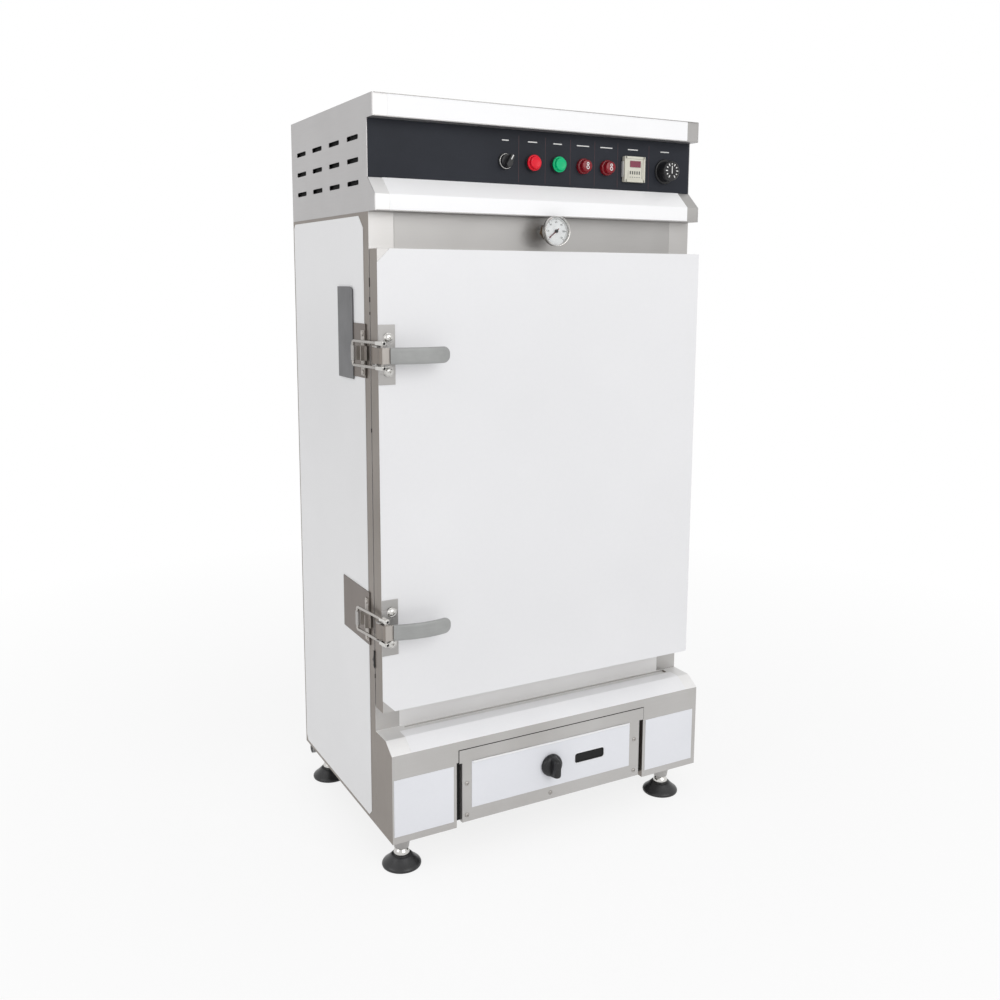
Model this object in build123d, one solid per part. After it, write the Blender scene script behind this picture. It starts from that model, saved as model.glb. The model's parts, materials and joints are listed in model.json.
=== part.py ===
from build123d import *
from math import atan2, cos, degrees, hypot, radians, sin, sqrt
import os

# Bun steamer cabinet. Millimetres. X to the right, Y to the back, Z up.
# While it is drawn, x = 0 is the middle of the body, y = 0 the face of the front frame and z = 0 the
# underside of the base. At the end everything moves so that the origin is under the middle of the
# whole object, on the floor.

# Sheet metal, the white facing on it, and gaps
SHEET = 1.2
FILM = 0.6
FILM_END = 28.0
FACE_MARGIN = 7.0
HOLE_GAP = 0.1
RUNNING_GAP = 0.1

# Body
BODY_WIDTH = 700.0
BODY_HEIGHT = 1144.0
CHAMBER_DEPTH = 380.0
REAR_SPACE = 38.4
STILE_WIDTH = 48.0
POST_STRIP = 24.6
BODY_DEPTH = CHAMBER_DEPTH + REAR_SPACE + 3 * SHEET
CHAMBER_BACK = SHEET + CHAMBER_DEPTH
HALF = BODY_WIDTH / 2
INNER = HALF - SHEET
OPENING_HALF = HALF - STILE_WIDTH

# Base housing, with a notch between its two blocks and a gutter in its ledge
BASE_PROJECTION = 77.4
BREAK_Z = 172.0
LEDGE_RISE = 19.0
LEDGE_DEPTH = 48.0
LEFT_BLOCK_WIDTH = 131.0
RIGHT_BLOCK_WIDTH = 138.5
NOTCH_TOP = 130.0
NOTCH_FLANGE = 29.0
NOTCH_FLANGE_SETBACK = 14.0
GUTTER_LEFT_MARGIN = 56.0
GUTTER_RIGHT_MARGIN = 34.0
GUTTER_FRONT = -17.0
GUTTER_BACK = -3.0
GUTTER_DEPTH = 4.0
BLOCK_FILM_BOTTOM = 14.0
BLOCK_FILM_TOP = 125.0
BLOCK_FILM_RIM = 6.5
LEDGE_Z = BREAK_Z + LEDGE_RISE
NOTCH_LEFT = LEFT_BLOCK_WIDTH - HALF
NOTCH_RIGHT = HALF - RIGHT_BLOCK_WIDTH
GUTTER_LEFT = GUTTER_LEFT_MARGIN - HALF
GUTTER_RIGHT = HALF - GUTTER_RIGHT_MARGIN

# Burner access panel
STRIP_LEFT_GAP = 5.0
STRIP_RIGHT_GAP = 0.5
STRIP_RISE = 23.5
STRIP_HANG = 2.0
ACCESS_LEFT_GAP = 11.0
ACCESS_RIGHT_GAP = 10.5
ACCESS_LEFT_RIM = 20.0
ACCESS_RIGHT_RIM = 24.5
ACCESS_LOW_RIM = 26.4
ACCESS_BOTTOM = 8.3
BURNER_KNOB_X = -12.7
BURNER_KNOB_Z = 81.0
BURNER_KNOB_RADIUS = 22.5
WINDOW_OFFSET = 56.7
WINDOW_WIDTH = 69.0
WINDOW_HEIGHT = 20.0
WINDOW_DROP = 11.0
WINDOW_CORNER = 5.0
LEFT_SCREW_RISE = 4.5
RIGHT_SCREW_RISE = 8.6
SCREW_HEAD_RADIUS = 4.5
SCREW_HEAD_HEIGHT = 2.5
SCREW_SHANK_RADIUS = 2.0
ACCESS_Y = -BASE_PROJECTION - SHEET
STRIP_TOP = NOTCH_TOP + STRIP_RISE
STRIP_BOTTOM = NOTCH_TOP - STRIP_HANG
ACCESS_LEFT = NOTCH_LEFT + ACCESS_LEFT_GAP
ACCESS_RIGHT = NOTCH_RIGHT - ACCESS_RIGHT_GAP
WINDOW_X = BURNER_KNOB_X + WINDOW_OFFSET
WINDOW_Z = BURNER_KNOB_Z - WINDOW_DROP

# Door
DOOR_LOW_GAP = 49.0
DOOR_HIGH_GAP = 64.0
DOOR_THICKNESS = 34.1
DOOR_BACK = -3.5
DOOR_CORNER_CUT = 24.0
GASKET_WIDTH = 18.0
GASKET_GAP = 0.3
GASKET_MARGIN = 6.0
DOOR_BOTTOM = LEDGE_Z + DOOR_LOW_GAP
DOOR_TOP = BODY_HEIGHT - DOOR_HIGH_GAP
DOOR_FRONT = DOOR_BACK - DOOR_THICKNESS
FILM_FRONT = DOOR_FRONT - FILM

# Door opening, chamber, tray rack and water tank
SILL_OVERLAP = 45.0
HEADER_OVERLAP = 40.0
CEILING_DROP = 14.0
TANK_DEPTH = 85.0
RUNNER_PITCH = 70.0
RUNNER_FIRST_RISE = 65.0
RUNNER_WIDTH = 15.0
RUNNER_HEIGHT = 12.0
RUNNER_FRONT = 20.0
RUNNER_BACK_GAP = 16.2
UPRIGHT_WIDTH = 20.0
UPRIGHT_THICKNESS = 3.0
UPRIGHT_INSET = 55.0
UPRIGHT_END_GAP = 10.0
OPENING_BOTTOM = DOOR_BOTTOM + SILL_OVERLAP
OPENING_TOP = DOOR_TOP - HEADER_OVERLAP
CHAMBER_TOP = BODY_HEIGHT - CEILING_DROP
TANK_BOTTOM = OPENING_BOTTOM - TANK_DEPTH
RUNNER_FIRST_Z = OPENING_BOTTOM + RUNNER_FIRST_RISE
RUNNER_BACK = CHAMBER_BACK - RUNNER_BACK_GAP
UPRIGHT_TOP = OPENING_TOP - UPRIGHT_END_GAP
RUNNER_COUNT = int((UPRIGHT_TOP - RUNNER_FIRST_Z) / RUNNER_PITCH) + 1

# Control box: hood lip, slope to the panel, panel and fascia above it
HOOD_LIP_HEIGHT = 28.0
HOOD_SLOPE_RISE = 30.0
HOOD_FRONT = -31.0
PANEL_Y = 2.0
PANEL_HEIGHT = 99.0
FASCIA_FRONT = -24.0
FASCIA_HEIGHT = 39.0
HOOD_LIP_TOP = BODY_HEIGHT + HOOD_LIP_HEIGHT
PANEL_BOTTOM = HOOD_LIP_TOP + HOOD_SLOPE_RISE
PANEL_TOP = PANEL_BOTTOM + PANEL_HEIGHT
BOX_TOP = PANEL_TOP + FASCIA_HEIGHT

# Louvres in the sides of the control box
SLOT_LENGTH = 56.0
SLOT_HEIGHT = 8.5
SLOT_CORNER = 3.2
SLOT_FRONT_MARGIN = 71.0
SLOT_BACK_MARGIN = 63.0
SLOT_COLUMNS = 4
SLOT_LOW_MARGIN = 52.0
SLOT_PITCH_Z = 39.2
SLOT_ROWS = 3
SLOT_PITCH_Y = (BODY_DEPTH - SLOT_FRONT_MARGIN - SLOT_BACK_MARGIN) / (SLOT_COLUMNS - 1)
SLOT_FIRST_Z = BODY_HEIGHT + SLOT_LOW_MARGIN

# Devices on the control panel, placed from its right end
DEVICE_RISE = 41.0
THERMOSTAT_INSET = 63.0
TIMER_SPACING = 78.0
LAMP_SPACING = 63.0
LAMP_PITCH = 54.0
GREEN_SPACING = 57.0
RED_SPACING = 55.0
SELECTOR_SPACING = 58.0
BEZEL_RADIUS = 14.5
BEZEL_THICKNESS = 2.5
BARREL_RADIUS = 11.2
BARREL_DEPTH = 20.0
CONTACT_WIDTH = 24.0
CONTACT_HEIGHT = 30.0
CONTACT_DEPTH = 32.0
BUTTON_CROWN_RADIUS = 11.5
BUTTON_TRAVEL = 2.5
LAMP_DEPTH = 30.0
SPINDLE_RADIUS = 5.0
TIMER_SIDE = 49.0
TIMER_BODY_SIDE = 44.5
TIMER_BEZEL = 9.0
TIMER_DEPTH = 60.0
TIMER_RECESS = 1.5
THERMOSTAT_KNOB_RADIUS = 20.0
THERMOSTAT_KNOB_LENGTH = 21.7
THERMOSTAT_DIAL_RADIUS = 24.0
THERMOSTAT_DIAL = 4.0
DEVICE_Z = PANEL_BOTTOM + DEVICE_RISE
THERMOSTAT_X = HALF - THERMOSTAT_INSET
TIMER_X = THERMOSTAT_X - TIMER_SPACING
LAMP_XS = (TIMER_X - LAMP_SPACING - LAMP_PITCH, TIMER_X - LAMP_SPACING)
GREEN_BUTTON_X = LAMP_XS[0] - GREEN_SPACING
RED_BUTTON_X = GREEN_BUTTON_X - RED_SPACING
SELECTOR_X = RED_BUTTON_X - SELECTOR_SPACING

# Thermometer on the header
THERMOMETER_X = 5.0
THERMOMETER_DROP = 27.0
THERMOMETER_RADIUS = 28.5
THERMOMETER_WALL = 3.0
THERMOMETER_DEPTH = 14.0
THERMOMETER_STANDOFF = 38.0
PROBE_RADIUS = 4.0
PROBE_LENGTH = 90.0
NEEDLE_LENGTH = 19.0
NEEDLE_TAIL = 7.0
NEEDLE_REST_ANGLE = -40.0
THERMOMETER_Z = BODY_HEIGHT - THERMOMETER_DROP
THERMOMETER_BACK = -THERMOMETER_STANDOFF
THERMOMETER_FRONT = THERMOMETER_BACK - THERMOMETER_DEPTH

# Latches
UPPER_LATCH_DROP = 183.0
LOWER_LATCH_RISE = 162.0
LATCH_PLATE_HEIGHT = 105.0
LATCH_PLATE_WIDTH = 31.5
LATCH_PLATE = 1.5
BRACKET_SHEET = 2.0
BRACKET_WIDTH = 29.0
BRACKET_HEIGHT = 68.0
LEVER_WIDTH = 28.0
LEVER_SHEET = 2.5
EAR_GAP = 1.3
PIVOT_OUTSET = 7.0
PIVOT_Y = -47.0
PIVOT_RADIUS = 3.5
EYE_WALL = 3.0
LINK_OFFSET_X = 5.0
LINK_OFFSET_Y = -15.0
LINK_RADIUS = 2.9
BAIL_RADIUS = 3.0
BAIL_SPACING = 43.0
BAIL_END_OUTSET = 16.0
BAIL_END_Y = 42.0
LUG_LENGTH = 22.0
LUG_WIDTH = 9.0
LUG_HEIGHT = 6.4
GRIP_START = 11.0
GRIP_LENGTH = 110.0
GRIP_SWELL = 3.0
GRIP_BOW = -10.0
GRIP_THICKNESS = 9.0
GRIP_WIDTH = 29.0
GRIP_CORNER = 11.0
KEEPER_WIDTH = 26.0
KEEPER_LENGTH = 30.0
KEEPER_GAP = 0.5
LATCH_SCREW_RADIUS = 8.5
LATCH_SCREW_HEIGHT = 5.0
UPPER_LATCH_Z = DOOR_TOP - UPPER_LATCH_DROP
LOWER_LATCH_Z = DOOR_BOTTOM + LOWER_LATCH_RISE
PIVOT_X = -HALF - PIVOT_OUTSET
LINK_X = PIVOT_X + LINK_OFFSET_X
LINK_Y = PIVOT_Y + LINK_OFFSET_Y
LEVER_Y = LINK_Y - 5.0
BAIL_END_X = -HALF - BAIL_END_OUTSET
GRIP_START_X = GRIP_START - HALF
GRIP_END_X = GRIP_START_X + GRIP_LENGTH

# Plates of the latches on the side, as front, back, bottom and top, the last two from the latch's height
SIDE_PLATE_UPPER = (17.0, 150.0, -45.0, 52.0)
SIDE_PLATE_LOWER = (17.0, 153.0, -48.5, 53.5)
BACKING_BAR = (76.0, 152.0, -51.0, 117.0)

# Hinges
LOW_HINGE_RISE = 100.0
HIGH_HINGE_DROP = 120.0
HINGE_HEIGHT = 100.0
HINGE_LEAF = 2.0
HINGE_OUTSET = 7.0
HINGE_Y = -10.0
HINGE_LIFT = 0.3
KNUCKLE_RADIUS = 6.0
HINGE_PIN_RADIUS = 3.5
HINGE_PIN_GAP = 0.05
LEAF_RELIEF = 7.5
LEAF_REACH = 33.0
DOOR_LEAF_REACH = 24.0
HINGE_ZS = (DOOR_BOTTOM + LOW_HINGE_RISE, DOOR_TOP - HIGH_HINGE_DROP)
HINGE_X = HALF + HINGE_OUTSET

# Feet
FOOT_HEIGHT = 60.0
FOOT_FRONT_Y = -47.0
FOOT_BACK_INSET = 71.0
FOOT_LEFT_INSET = 30.0
FOOT_RIGHT_INSET = 66.0
FOOT_PAD_RADIUS = 37.0
FOOT_PAD_NECK = 19.0
FOOT_PAD_HEIGHT = 22.0
FOOT_PAD_RIM = 4.0
COLLAR_RADIUS = 15.0
COLLAR_CORNER = 4.0
STEM_RADIUS = 8.0
STEM_TOP = 45.0
SOCKET_DEPTH = 24.0
SOCKET_TOP_RADIUS = 18.0
SOCKET_BOTTOM_RADIUS = 14.0
FOOT_GAP = 0.3
GUSSET = 3.0
GUSSET_REACH = 30.0
FOOT_LEFT_X = FOOT_LEFT_INSET - HALF
FOOT_RIGHT_X = HALF - FOOT_RIGHT_INSET
FOOT_BACK_Y = BODY_DEPTH - FOOT_BACK_INSET

# Pipes, heating element, burner and rear fittings
NIPPLE_RADIUS = 10.48
NIPPLE_LENGTH = 20.0
NIPPLE_BORE = 6.5
INLET_RADIUS = 8.5
INLET_SPACING = 150.0
INLET_DROP = 23.0
STEAM_RADIUS = 13.5
STEAM_INNER_RADIUS = 13.0
STEAM_BORE = 12.0
STEAM_LENGTH = 28.0
STEAM_SPACING = 150.0
STEAM_DROP = 35.0
DRAIN_SPACING = 95.0
DRAIN_STANDOFF = 15.6
DRAIN_Z = -11.0
DRAIN_RISE = 13.0
DRAIN_END_INSET = 4.0
DRAIN_RADIUS = 10.0
DRAIN_BORE = 8.5
DRAIN_BEND = 14.0
GAS_PIPE_SPACING = 200.0
GAS_PIPE_RADIUS = 6.0
GAS_PIPE_WALL = 1.0
GAS_PIPE_Y = -38.0
GAS_PIPE_BEND = 30.0
VALVE_HALF = 12.0
VALVE_FRONT = -58.0
VALVE_BACK = -18.0
VALVE_BORE_DEPTH = 18.0
ELEMENT_RADIUS = 5.0
ELEMENT_RISE = 22.0
ELEMENT_HALF_SPAN = 60.0
ELEMENT_FRONT = 60.0
ELEMENT_FLANGE = 6.0
BURNER_RINGS = ((110.0, 82.0), (50.0, 24.0))
BURNER_CENTRE_Y = 200.0
BURNER_HALF_HEIGHT = 15.0
BURNER_ARM = 12.0
MIXING_TUBE_RADIUS = 13.0
PORT_RADIUS = 2.0
PORT_DEPTH = 6.0
BRACKET_STRIP = 4.0
BRACKET_STRIP_HALF = 15.0
GLAND_INSET = 90.0
GLAND_RISE = 36.0
GLAND_BORE = 5.0
GLAND_INSIDE = 10.0
GLAND_NUT = 6.0
GLAND_LENGTH = 20.0
SERVICE_GAP_RISE = 15.0
WATER_INLET = (HALF - INLET_SPACING, OPENING_BOTTOM - INLET_DROP)
STEAM_OUTLET = (STEAM_SPACING - HALF, CHAMBER_TOP - STEAM_DROP)
DRAIN_X = DRAIN_SPACING - HALF
DRAIN_Y = CHAMBER_BACK + SHEET + DRAIN_STANDOFF
DRAIN_TANK_Z = TANK_BOTTOM + DRAIN_RISE
DRAIN_END_X = DRAIN_END_INSET - HALF
GAS_PIPE_X = GAS_PIPE_SPACING - HALF
ELEMENT_Z = TANK_BOTTOM + ELEMENT_RISE
GLAND_X = HALF - GLAND_INSET
GLAND_Z = BODY_HEIGHT + GLAND_RISE
SERVICE_GAP_TOP = OPENING_BOTTOM + SERVICE_GAP_RISE

# Wiring on a rail in the control box, as left, right, front, back and height over the rail
RAIL_HEIGHT = 7.5
RAIL = (-200.0, 100.0, 250.0, 285.0)
CONTACTOR = (-180.0, -135.0, 228.0, 308.0, 72.5)
TERMINALS = (-70.0, 70.0, 252.0, 283.0, 36.5)
TERMINAL_PITCH = 14.0

parts = {}


def block(x, y, z):
    """A box between two values on each axis."""
    size = [high - low for low, high in (x, y, z)]
    centre = [(high + low) / 2 for low, high in (x, y, z)]
    return Pos(*centre) * Box(*size)


def along_x(y, z, radius, start, end):
    return Pos((start + end) / 2, y, z) * Rot(0, 90, 0) * Cylinder(radius, end - start)


def along_y(x, z, radius, start, end):
    return Pos(x, (start + end) / 2, z) * Rot(90, 0, 0) * Cylinder(radius, end - start)


def along_z(x, y, radius, start, end):
    return Pos(x, y, (start + end) / 2) * Cylinder(radius, end - start)


def prism(points, direction):
    """The closed outline of 3D points, pushed along a direction."""
    face = Face(Wire.make_polygon([Vector(*p) for p in points], close=True))
    return Solid.extrude(face, Vector(*direction))


def prism_x(points, start, end):
    return prism([(start, y, z) for y, z in points], (end - start, 0, 0))


def prism_y(points, start, end):
    return prism([(x, start, z) for x, z in points], (0, end - start, 0))


def prism_z(points, start, end):
    return prism([(x, y, start) for x, y in points], (0, 0, end - start))


def folded(points, thickness):
    """The closed outline of a folded sheet: its outer line, and a parallel line on its right."""
    inner = []
    for i, point in enumerate(points):
        normals = []
        for a, b in ((i - 1, i), (i, i + 1)):
            if a >= 0 and b < len(points):
                run, rise = points[b][0] - points[a][0], points[b][1] - points[a][1]
                length = hypot(run, rise)
                normals.append((rise / length, -run / length))
        first, last = normals[0], normals[-1]
        share = thickness / (1 + first[0] * last[0] + first[1] * last[1])
        inner.append((point[0] + share * (first[0] + last[0]), point[1] + share * (first[1] + last[1])))
    return points + inner[::-1]


def rounded(solid, axis, radius):
    return fillet(solid.edges().filter_by(axis), radius)


def fused(pieces):
    body = pieces[0]
    for piece in pieces[1:]:
        body = body + piece
    return body


def pipe(points, bend, outer, bore):
    """A pipe along straight runs with equal bends."""
    path = FilletPolyline(*points, radius=bend)
    start = Plane(origin=path @ 0, z_dir=path % 0)
    tube = sweep(start * Circle(outer), path=path)
    if bore:
        tube = tube - sweep(start * Circle(bore), path=path)
    return tube


def add(name, *pieces):
    parts[name] = list(pieces)


def outer_body():
    """Side panels with their front stiles, the back, and the header and sill of the front frame."""
    sides = []
    for side in (-1, 1):
        web = block(sorted((side * HALF, side * INNER)), (0, BODY_DEPTH), (0, BODY_HEIGHT))
        stile = block(sorted((side * HALF, side * OPENING_HALF)), (0, SHEET), (LEDGE_Z, BODY_HEIGHT))
        sides.append(web + stile)
    add("side_panels", *sides)

    back = block((-INNER, INNER), (BODY_DEPTH - SHEET, BODY_DEPTH), (0, BODY_HEIGHT))
    wall = (BODY_DEPTH - 5, BODY_DEPTH + 5)
    back -= along_y(*WATER_INLET, INLET_RADIUS + HOLE_GAP, *wall)
    back -= along_y(*STEAM_OUTLET, STEAM_INNER_RADIUS + HOLE_GAP, *wall)
    back -= along_y(GAS_PIPE_X, BURNER_KNOB_Z, GAS_PIPE_RADIUS + HOLE_GAP, *wall)
    add("back_panel", back)

    header = block((-OPENING_HALF, OPENING_HALF), (0, SHEET), (OPENING_TOP, BODY_HEIGHT))
    header -= along_y(THERMOMETER_X, THERMOMETER_Z, PROBE_RADIUS + HOLE_GAP, -5, 5)
    sill = block((-OPENING_HALF, OPENING_HALF), (0, SHEET), (LEDGE_Z - 11, OPENING_BOTTOM))
    add("front_frame", header, sill)


def chamber():
    """Chamber walls, insulation, tray rack and water tank."""
    wall_outer = OPENING_HALF + SHEET
    walls = []
    for side in (-1, 1):
        walls.append(block(sorted((side * OPENING_HALF, side * wall_outer)), (SHEET, CHAMBER_BACK + SHEET),
                           (OPENING_BOTTOM, CHAMBER_TOP)))
    rear = block((-OPENING_HALF, OPENING_HALF), (CHAMBER_BACK, CHAMBER_BACK + SHEET),
                 (OPENING_BOTTOM, CHAMBER_TOP))
    rear -= along_y(*STEAM_OUTLET, STEAM_INNER_RADIUS + HOLE_GAP, CHAMBER_BACK - 5, CHAMBER_BACK + 5)
    ceiling = block((-wall_outer, wall_outer), (SHEET, CHAMBER_BACK + SHEET),
                    (CHAMBER_TOP, CHAMBER_TOP + SHEET))
    add("chamber_walls", *walls, rear, ceiling)

    slab_top = BODY_HEIGHT - SHEET
    slabs = []
    for side in (-1, 1):
        slabs.append(block(sorted((side * wall_outer, side * INNER)), (SHEET, BODY_DEPTH - SHEET),
                           (TANK_BOTTOM, slab_top)))
    rear_slab = block((-wall_outer, wall_outer), (CHAMBER_BACK + SHEET, BODY_DEPTH - SHEET),
                      (SERVICE_GAP_TOP, slab_top))
    rear_slab -= along_y(*STEAM_OUTLET, STEAM_INNER_RADIUS + HOLE_GAP, CHAMBER_BACK, BODY_DEPTH)
    top_slab = block((-wall_outer, wall_outer), (SHEET, CHAMBER_BACK + SHEET),
                     (CHAMBER_TOP + SHEET, slab_top))
    add("cabinet_insulation", *slabs, rear_slab, top_slab)

    rack = []
    for side in (-1, 1):
        for centre in (RUNNER_FRONT + UPRIGHT_INSET, RUNNER_BACK - UPRIGHT_INSET):
            rack.append(block(sorted((side * OPENING_HALF, side * (OPENING_HALF - UPRIGHT_THICKNESS))),
                              (centre - UPRIGHT_WIDTH / 2, centre + UPRIGHT_WIDTH / 2),
                              (OPENING_BOTTOM + 5, UPRIGHT_TOP)))
        seat = OPENING_HALF - UPRIGHT_THICKNESS
        for i in range(RUNNER_COUNT):
            z = RUNNER_FIRST_Z + i * RUNNER_PITCH
            run = (RUNNER_FRONT, RUNNER_BACK)
            leg = block(sorted((side * seat, side * (seat - SHEET))), run, (z - RUNNER_HEIGHT, z))
            shelf = block(sorted((side * seat, side * (seat - RUNNER_WIDTH))), run, (z - SHEET, z))
            rack.append(leg + shelf)
    add("tray_rack", *rack)

    outside = block((-wall_outer, wall_outer), (SHEET, CHAMBER_BACK + SHEET), (TANK_BOTTOM, OPENING_BOTTOM))
    inside = block((-OPENING_HALF, OPENING_HALF), (2 * SHEET, CHAMBER_BACK),
                   (TANK_BOTTOM + SHEET, OPENING_BOTTOM + 1))
    tank = outside - inside
    rear_wall = (CHAMBER_BACK - 5, CHAMBER_BACK + 5)
    tank -= along_y(*WATER_INLET, INLET_RADIUS + HOLE_GAP, *rear_wall)
    tank -= along_y(DRAIN_X, DRAIN_TANK_Z, DRAIN_BORE, *rear_wall)
    for side in (-1, 1):
        tank -= along_y(side * ELEMENT_HALF_SPAN, ELEMENT_Z, ELEMENT_RADIUS + HOLE_GAP, *rear_wall)
    add("water_tank", tank)


def heating():
    """Electric element in the tank, gas burner, its bracket, valve and supply pipe under it."""
    back = CHAMBER_BACK + SHEET
    ends = ELEMENT_HALF_SPAN
    loop = pipe([(-ends, back + 1, ELEMENT_Z), (-ends, ELEMENT_FRONT, ELEMENT_Z),
                 (ends, ELEMENT_FRONT, ELEMENT_Z), (ends, back + 1, ELEMENT_Z)],
                0.8 * ends, ELEMENT_RADIUS, 0)
    flange = block((-1.5 * ends, 1.5 * ends), (back, back + ELEMENT_FLANGE),
                   (ELEMENT_Z - 4 * ELEMENT_RADIUS, ELEMENT_Z + 4 * ELEMENT_RADIUS))
    add("heating_element", loop + flange)

    x, y, z = BURNER_KNOB_X, BURNER_CENTRE_Y, BURNER_KNOB_Z
    low, high = z - BURNER_HALF_HEIGHT, z + BURNER_HALF_HEIGHT
    metal = []
    for outer, inner in BURNER_RINGS:
        metal.append(along_z(x, y, outer, low, high) - along_z(x, y, inner, low - 1, high + 1))
    first, last = (sum(ring) / 2 for ring in BURNER_RINGS)
    for side in (-1, 1):
        reach = sorted((side * first, side * last))
        across = (-BURNER_ARM, BURNER_ARM)
        height = (z - BURNER_ARM, z + BURNER_ARM)
        metal.append(block([x + r for r in reach], [y + r for r in across], height))
        metal.append(block([x + r for r in across], [y + r for r in reach], height))
    metal.append(along_y(x, z, MIXING_TUBE_RADIUS, VALVE_BACK, y - first))
    burner = fused(metal)
    for outer, inner in BURNER_RINGS:
        radius = (outer + inner) / 2
        count = round(radius / 4)
        for i in range(count):
            angle = radians(360.0 * i / count)
            burner -= along_z(x + radius * cos(angle), y + radius * sin(angle), PORT_RADIUS,
                              high - PORT_DEPTH, high + 1)
    bracket = block((-INNER, INNER), (y - BRACKET_STRIP_HALF, y + BRACKET_STRIP_HALF),
                    (low - BRACKET_STRIP, low))
    add("gas_burner", burner, bracket)

    half = VALVE_HALF
    valve_body = block((x - half, x + half), (VALVE_FRONT, VALVE_BACK), (z - half, z + half))
    valve_body -= along_y(x, z, SPINDLE_RADIUS, VALVE_FRONT - 1, VALVE_FRONT + VALVE_BORE_DEPTH)
    end = BODY_DEPTH + NIPPLE_LENGTH
    route = [(x - half, GAS_PIPE_Y, z), (GAS_PIPE_X, GAS_PIPE_Y, z), (GAS_PIPE_X, end, z)]
    bore = GAS_PIPE_RADIUS - GAS_PIPE_WALL
    supply = pipe(route, GAS_PIPE_BEND, GAS_PIPE_RADIUS, bore)
    nipple = along_y(GAS_PIPE_X, z, NIPPLE_RADIUS, BODY_DEPTH, end)
    nipple -= along_y(GAS_PIPE_X, z, bore, BODY_DEPTH - 1, end + 1)
    add("gas_line", valve_body, supply + nipple)


def base():
    """Base housing: ledge with gutter, slope, front with a notch, blocks; and the access panel."""
    front = -BASE_PROJECTION
    slope = [(front, 0), (front, BREAK_Z), (-LEDGE_DEPTH, LEDGE_Z), (0, LEDGE_Z)]
    cover = prism_x(folded(slope, SHEET), -INNER, INNER)
    cover -= block((NOTCH_LEFT, NOTCH_RIGHT), (front - 5, front + 5), (-1, NOTCH_TOP))
    trough = block((GUTTER_LEFT - SHEET, GUTTER_RIGHT + SHEET), (GUTTER_FRONT - SHEET, GUTTER_BACK + SHEET),
                   (LEDGE_Z - GUTTER_DEPTH - SHEET, LEDGE_Z - SHEET / 2))
    channel = block((GUTTER_LEFT, GUTTER_RIGHT), (GUTTER_FRONT, GUTTER_BACK),
                    (LEDGE_Z - GUTTER_DEPTH, LEDGE_Z + 1))
    housing = cover + trough - channel
    inside = front + SHEET
    flange_y = front + NOTCH_FLANGE_SETBACK
    for side, notch in ((-1, NOTCH_LEFT), (1, NOTCH_RIGHT)):
        end = [(0, 0), (front, 0), (front, BREAK_Z), (-LEDGE_DEPTH, LEDGE_Z), (0, LEDGE_Z)]
        housing += prism_x(end, *sorted((side * INNER, side * HALF)))
        housing += block(sorted((notch, notch + side * SHEET)), (inside, -8), (0, NOTCH_TOP + SHEET))
        floor = block(sorted((side * INNER, notch + side * SHEET)), (inside, 0), (0, SHEET))
        foot_x = FOOT_LEFT_X if side < 0 else FOOT_RIGHT_X
        housing += floor - along_z(foot_x, FOOT_FRONT_Y, STEM_RADIUS + 1, -1, 5)
        housing += block(sorted((notch, notch - side * NOTCH_FLANGE)), (flange_y, flange_y + SHEET),
                         (ACCESS_BOTTOM, NOTCH_TOP))
    housing += block((NOTCH_LEFT - SHEET, NOTCH_RIGHT + SHEET), (inside, flange_y + SHEET),
                     (NOTCH_TOP, NOTCH_TOP + SHEET))
    add("base_housing", housing)

    strip = block((NOTCH_LEFT + STRIP_LEFT_GAP, NOTCH_RIGHT - STRIP_RIGHT_GAP), (ACCESS_Y, front),
                  (STRIP_BOTTOM, STRIP_TOP))
    plate = block((ACCESS_LEFT, ACCESS_RIGHT), (ACCESS_Y, front), (ACCESS_BOTTOM, STRIP_BOTTOM))
    panel = strip + plate
    for side, edge in ((1, ACCESS_LEFT), (-1, ACCESS_RIGHT)):
        panel += block(sorted((edge, edge + side * SHEET)), (ACCESS_Y, flange_y), (ACCESS_BOTTOM, STRIP_BOTTOM))
    panel += block((ACCESS_LEFT, ACCESS_RIGHT), (ACCESS_Y, flange_y), (ACCESS_BOTTOM, ACCESS_BOTTOM + SHEET))
    panel -= window_cut()
    panel -= along_y(BURNER_KNOB_X, BURNER_KNOB_Z, 2 * SPINDLE_RADIUS, ACCESS_Y - 5, front + 5)
    screws = []
    for x, z in screw_places():
        panel -= along_y(x, z, SCREW_SHANK_RADIUS + HOLE_GAP, ACCESS_Y - 5, front + 5)
        dome = along_y(x, z, SCREW_HEAD_RADIUS, ACCESS_Y - SCREW_HEAD_HEIGHT, ACCESS_Y)
        dome = fillet(dome.edges().group_by(Axis.Y)[0], 0.7 * SCREW_HEAD_HEIGHT)
        screws.append(dome + along_y(x, z, SCREW_SHANK_RADIUS, ACCESS_Y - 1, flange_y))
    add("burner_panel", panel)
    add("burner_panel_screws", *screws)


def screw_places():
    left = ACCESS_LEFT + ACCESS_LEFT_RIM / 2
    right = ACCESS_RIGHT - ACCESS_RIGHT_RIM / 2
    low = ACCESS_BOTTOM + ACCESS_LOW_RIM / 2
    return [(left, BURNER_KNOB_Z + LEFT_SCREW_RISE), (left, low), (right, BURNER_KNOB_Z + RIGHT_SCREW_RISE),
            (right, low), (BURNER_KNOB_X, low)]


def window_cut():
    cut = block((WINDOW_X, WINDOW_X + WINDOW_WIDTH), (ACCESS_Y - 5, -BASE_PROJECTION + 5),
                (WINDOW_Z, WINDOW_Z + WINDOW_HEIGHT))
    return rounded(cut, Axis.Y, WINDOW_CORNER)


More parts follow.
